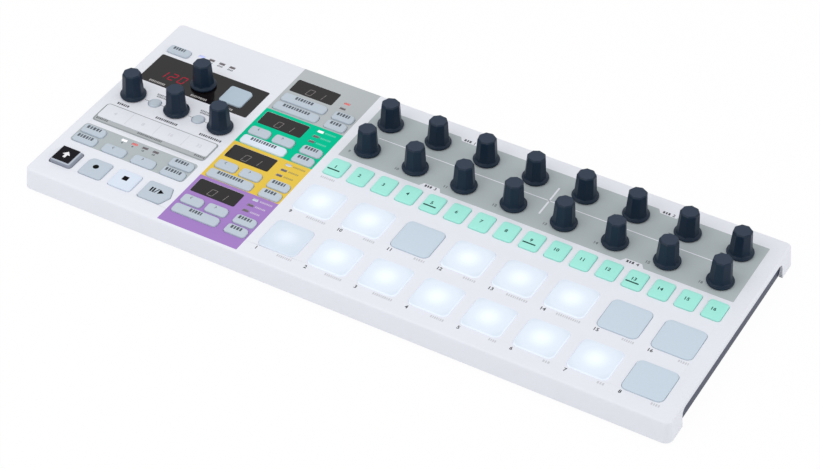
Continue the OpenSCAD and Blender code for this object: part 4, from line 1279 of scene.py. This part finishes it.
class SEQUENCER_OT_stage(bpy.types.Operator):
    """Pale floor, soft light and the camera"""

    bl_idname = "sequencer.stage"
    bl_label = "Stage"

    def execute(self, context):
        scene = context.scene
        looks = scene.sequencer_stage
        scene.view_settings.view_transform = "Standard"
        self.floor(scene, looks)
        self.world(scene, looks)
        self.lamp(scene, "front_light", looks.front, *FRONT_LIGHT)
        self.lamp(scene, "side_light", looks.side, *SIDE_LIGHT)
        camera = bpy.data.objects.new("camera", bpy.data.cameras.new("camera"))
        camera.data.sensor_fit = "HORIZONTAL"
        camera.data.sensor_width = SENSOR
        camera.data.lens = looks.focal
        self.aim(camera, Vector(looks.camera_at), Vector(looks.target), looks.roll)
        scene.collection.objects.link(camera)
        scene.camera = camera
        return {"FINISHED"}

    def aim(self, thing, place, target, roll=0.0):
        """Puts a lamp or the camera in its place, turned to a target and then about its own view."""
        turn = (target - place).to_track_quat("-Z", "Y").to_matrix() @ Matrix.Rotation(roll, 3, "Z")
        thing.matrix_world = Matrix.Translation(place) @ turn.to_4x4()

    def lamp(self, scene, name, power, place, size):
        """Square soft light aimed at the origin."""
        data = bpy.data.lights.new(name, "AREA")
        data.energy = power
        data.size = size
        lamp = bpy.data.objects.new(name, data)
        self.aim(lamp, Vector(place), Vector())
        scene.collection.objects.link(lamp)

    def seen(self, tree):
        """One for rays from the camera, from a gloss or through glass, and nought for the rest."""
        path = shade(tree, "LightPath", {}).outputs
        total = path["Is Camera Ray"]
        for name in ("Is Glossy Ray", "Is Transmission Ray"):
            total = shade(tree, "Math", {0: total, 1: path[name]}, operation="MAXIMUM").outputs[0]
        return total

    def floor(self, scene, looks):
        """Wide floor that the camera sees under a share of plain white, so its shadow stays soft."""
        side = np.linspace(-FLOOR_HALF, FLOOR_HALF, 3)
        x, y = np.meshgrid(side, side)
        points = np.stack([x, y, np.zeros_like(x)], -1).reshape(-1, 3)
        this = (np.arange(2)[:, None] * 3 + np.arange(2)).ravel()
        mesh = bpy.data.meshes.new("floor")
        mesh.from_pydata(points, [], np.stack([this, this + 1, this + 4, this + 3], -1).tolist())
        m = finish("floor_paper", looks.floor, rough=0.9, grain=200, spread=0.002, bump=0, specular=0)
        tree = m.node_tree
        white = shade(tree, "Emission", {"Strength": 1}).outputs[0]
        share = shade(tree, "Math", {0: self.seen(tree), 1: looks.whiteness}, operation="MULTIPLY").outputs[0]
        paper = tree.nodes["Principled BSDF"].outputs[0]
        mix = shade(tree, "MixShader", {0: share, 1: paper, 2: white}).outputs[0]
        feed(tree, tree.nodes["Material Output"], {"Surface": mix})
        mesh.materials.append(m)
        floor = bpy.data.objects.new("floor", mesh)
        scene.collection.objects.link(floor)

    def world(self, scene, looks):
        """Even light all round, which the camera sees as white."""
        world = bpy.data.worlds.new("studio")
        world.use_nodes = True
        tree = world.node_tree
        level = shade(tree, "MapRange", {"Value": self.seen(tree), "To Min": looks.ambient, "To Max": 1})
        even = {"Color": (1, 1, 1, 1), "Strength": level.outputs["Result"]}
        feed(tree, tree.nodes["Background"], even)
        scene.world = world


class SEQUENCER_PT_panel(bpy.types.Panel):
    """Lists the pieces in the 3D view's sidebar"""

    bl_idname = "SEQUENCER_PT_panel"
    bl_label = "Step sequencer"
    bl_space_type = "VIEW_3D"
    bl_region_type = "UI"
    bl_category = "Sequencer"

    def draw(self, context):
        for operator in OPERATORS:
            self.layout.operator(operator.bl_idname)


GROUPS = {
    "sequencer_case": CaseLooks,
    "sequencer_knobs": KnobLooks,
    "sequencer_keys": KeyLooks,
    "sequencer_lights": LightLooks,
    "sequencer_stage": StageLooks,
}
OPERATORS = (
    SEQUENCER_OT_case,
    SEQUENCER_OT_panels,
    SEQUENCER_OT_knobs,
    SEQUENCER_OT_small_keys,
    SEQUENCER_OT_transport,
    SEQUENCER_OT_steps,
    SEQUENCER_OT_pads,
    SEQUENCER_OT_windows,
    SEQUENCER_OT_lenses,
    SEQUENCER_OT_strip,
    SEQUENCER_OT_prints,
    SEQUENCER_OT_sockets,
    SEQUENCER_OT_stage,
)


CLASSES = (*GROUPS.values(), *OPERATORS, SEQUENCER_PT_panel)


def register():
    for cls in CLASSES:
        bpy.utils.register_class(cls)
    for name, group in GROUPS.items():
        setattr(bpy.types.Scene, name, PointerProperty(type=group))


def unregister():
    for name in GROUPS:
        delattr(bpy.types.Scene, name)
    for cls in reversed(CLASSES):
        bpy.utils.unregister_class(cls)


def main():
    register()
    for operator in OPERATORS:
        group, name = operator.bl_idname.split(".")
        getattr(getattr(bpy.ops, group), name)()


if __name__ == "__main__":
    main()
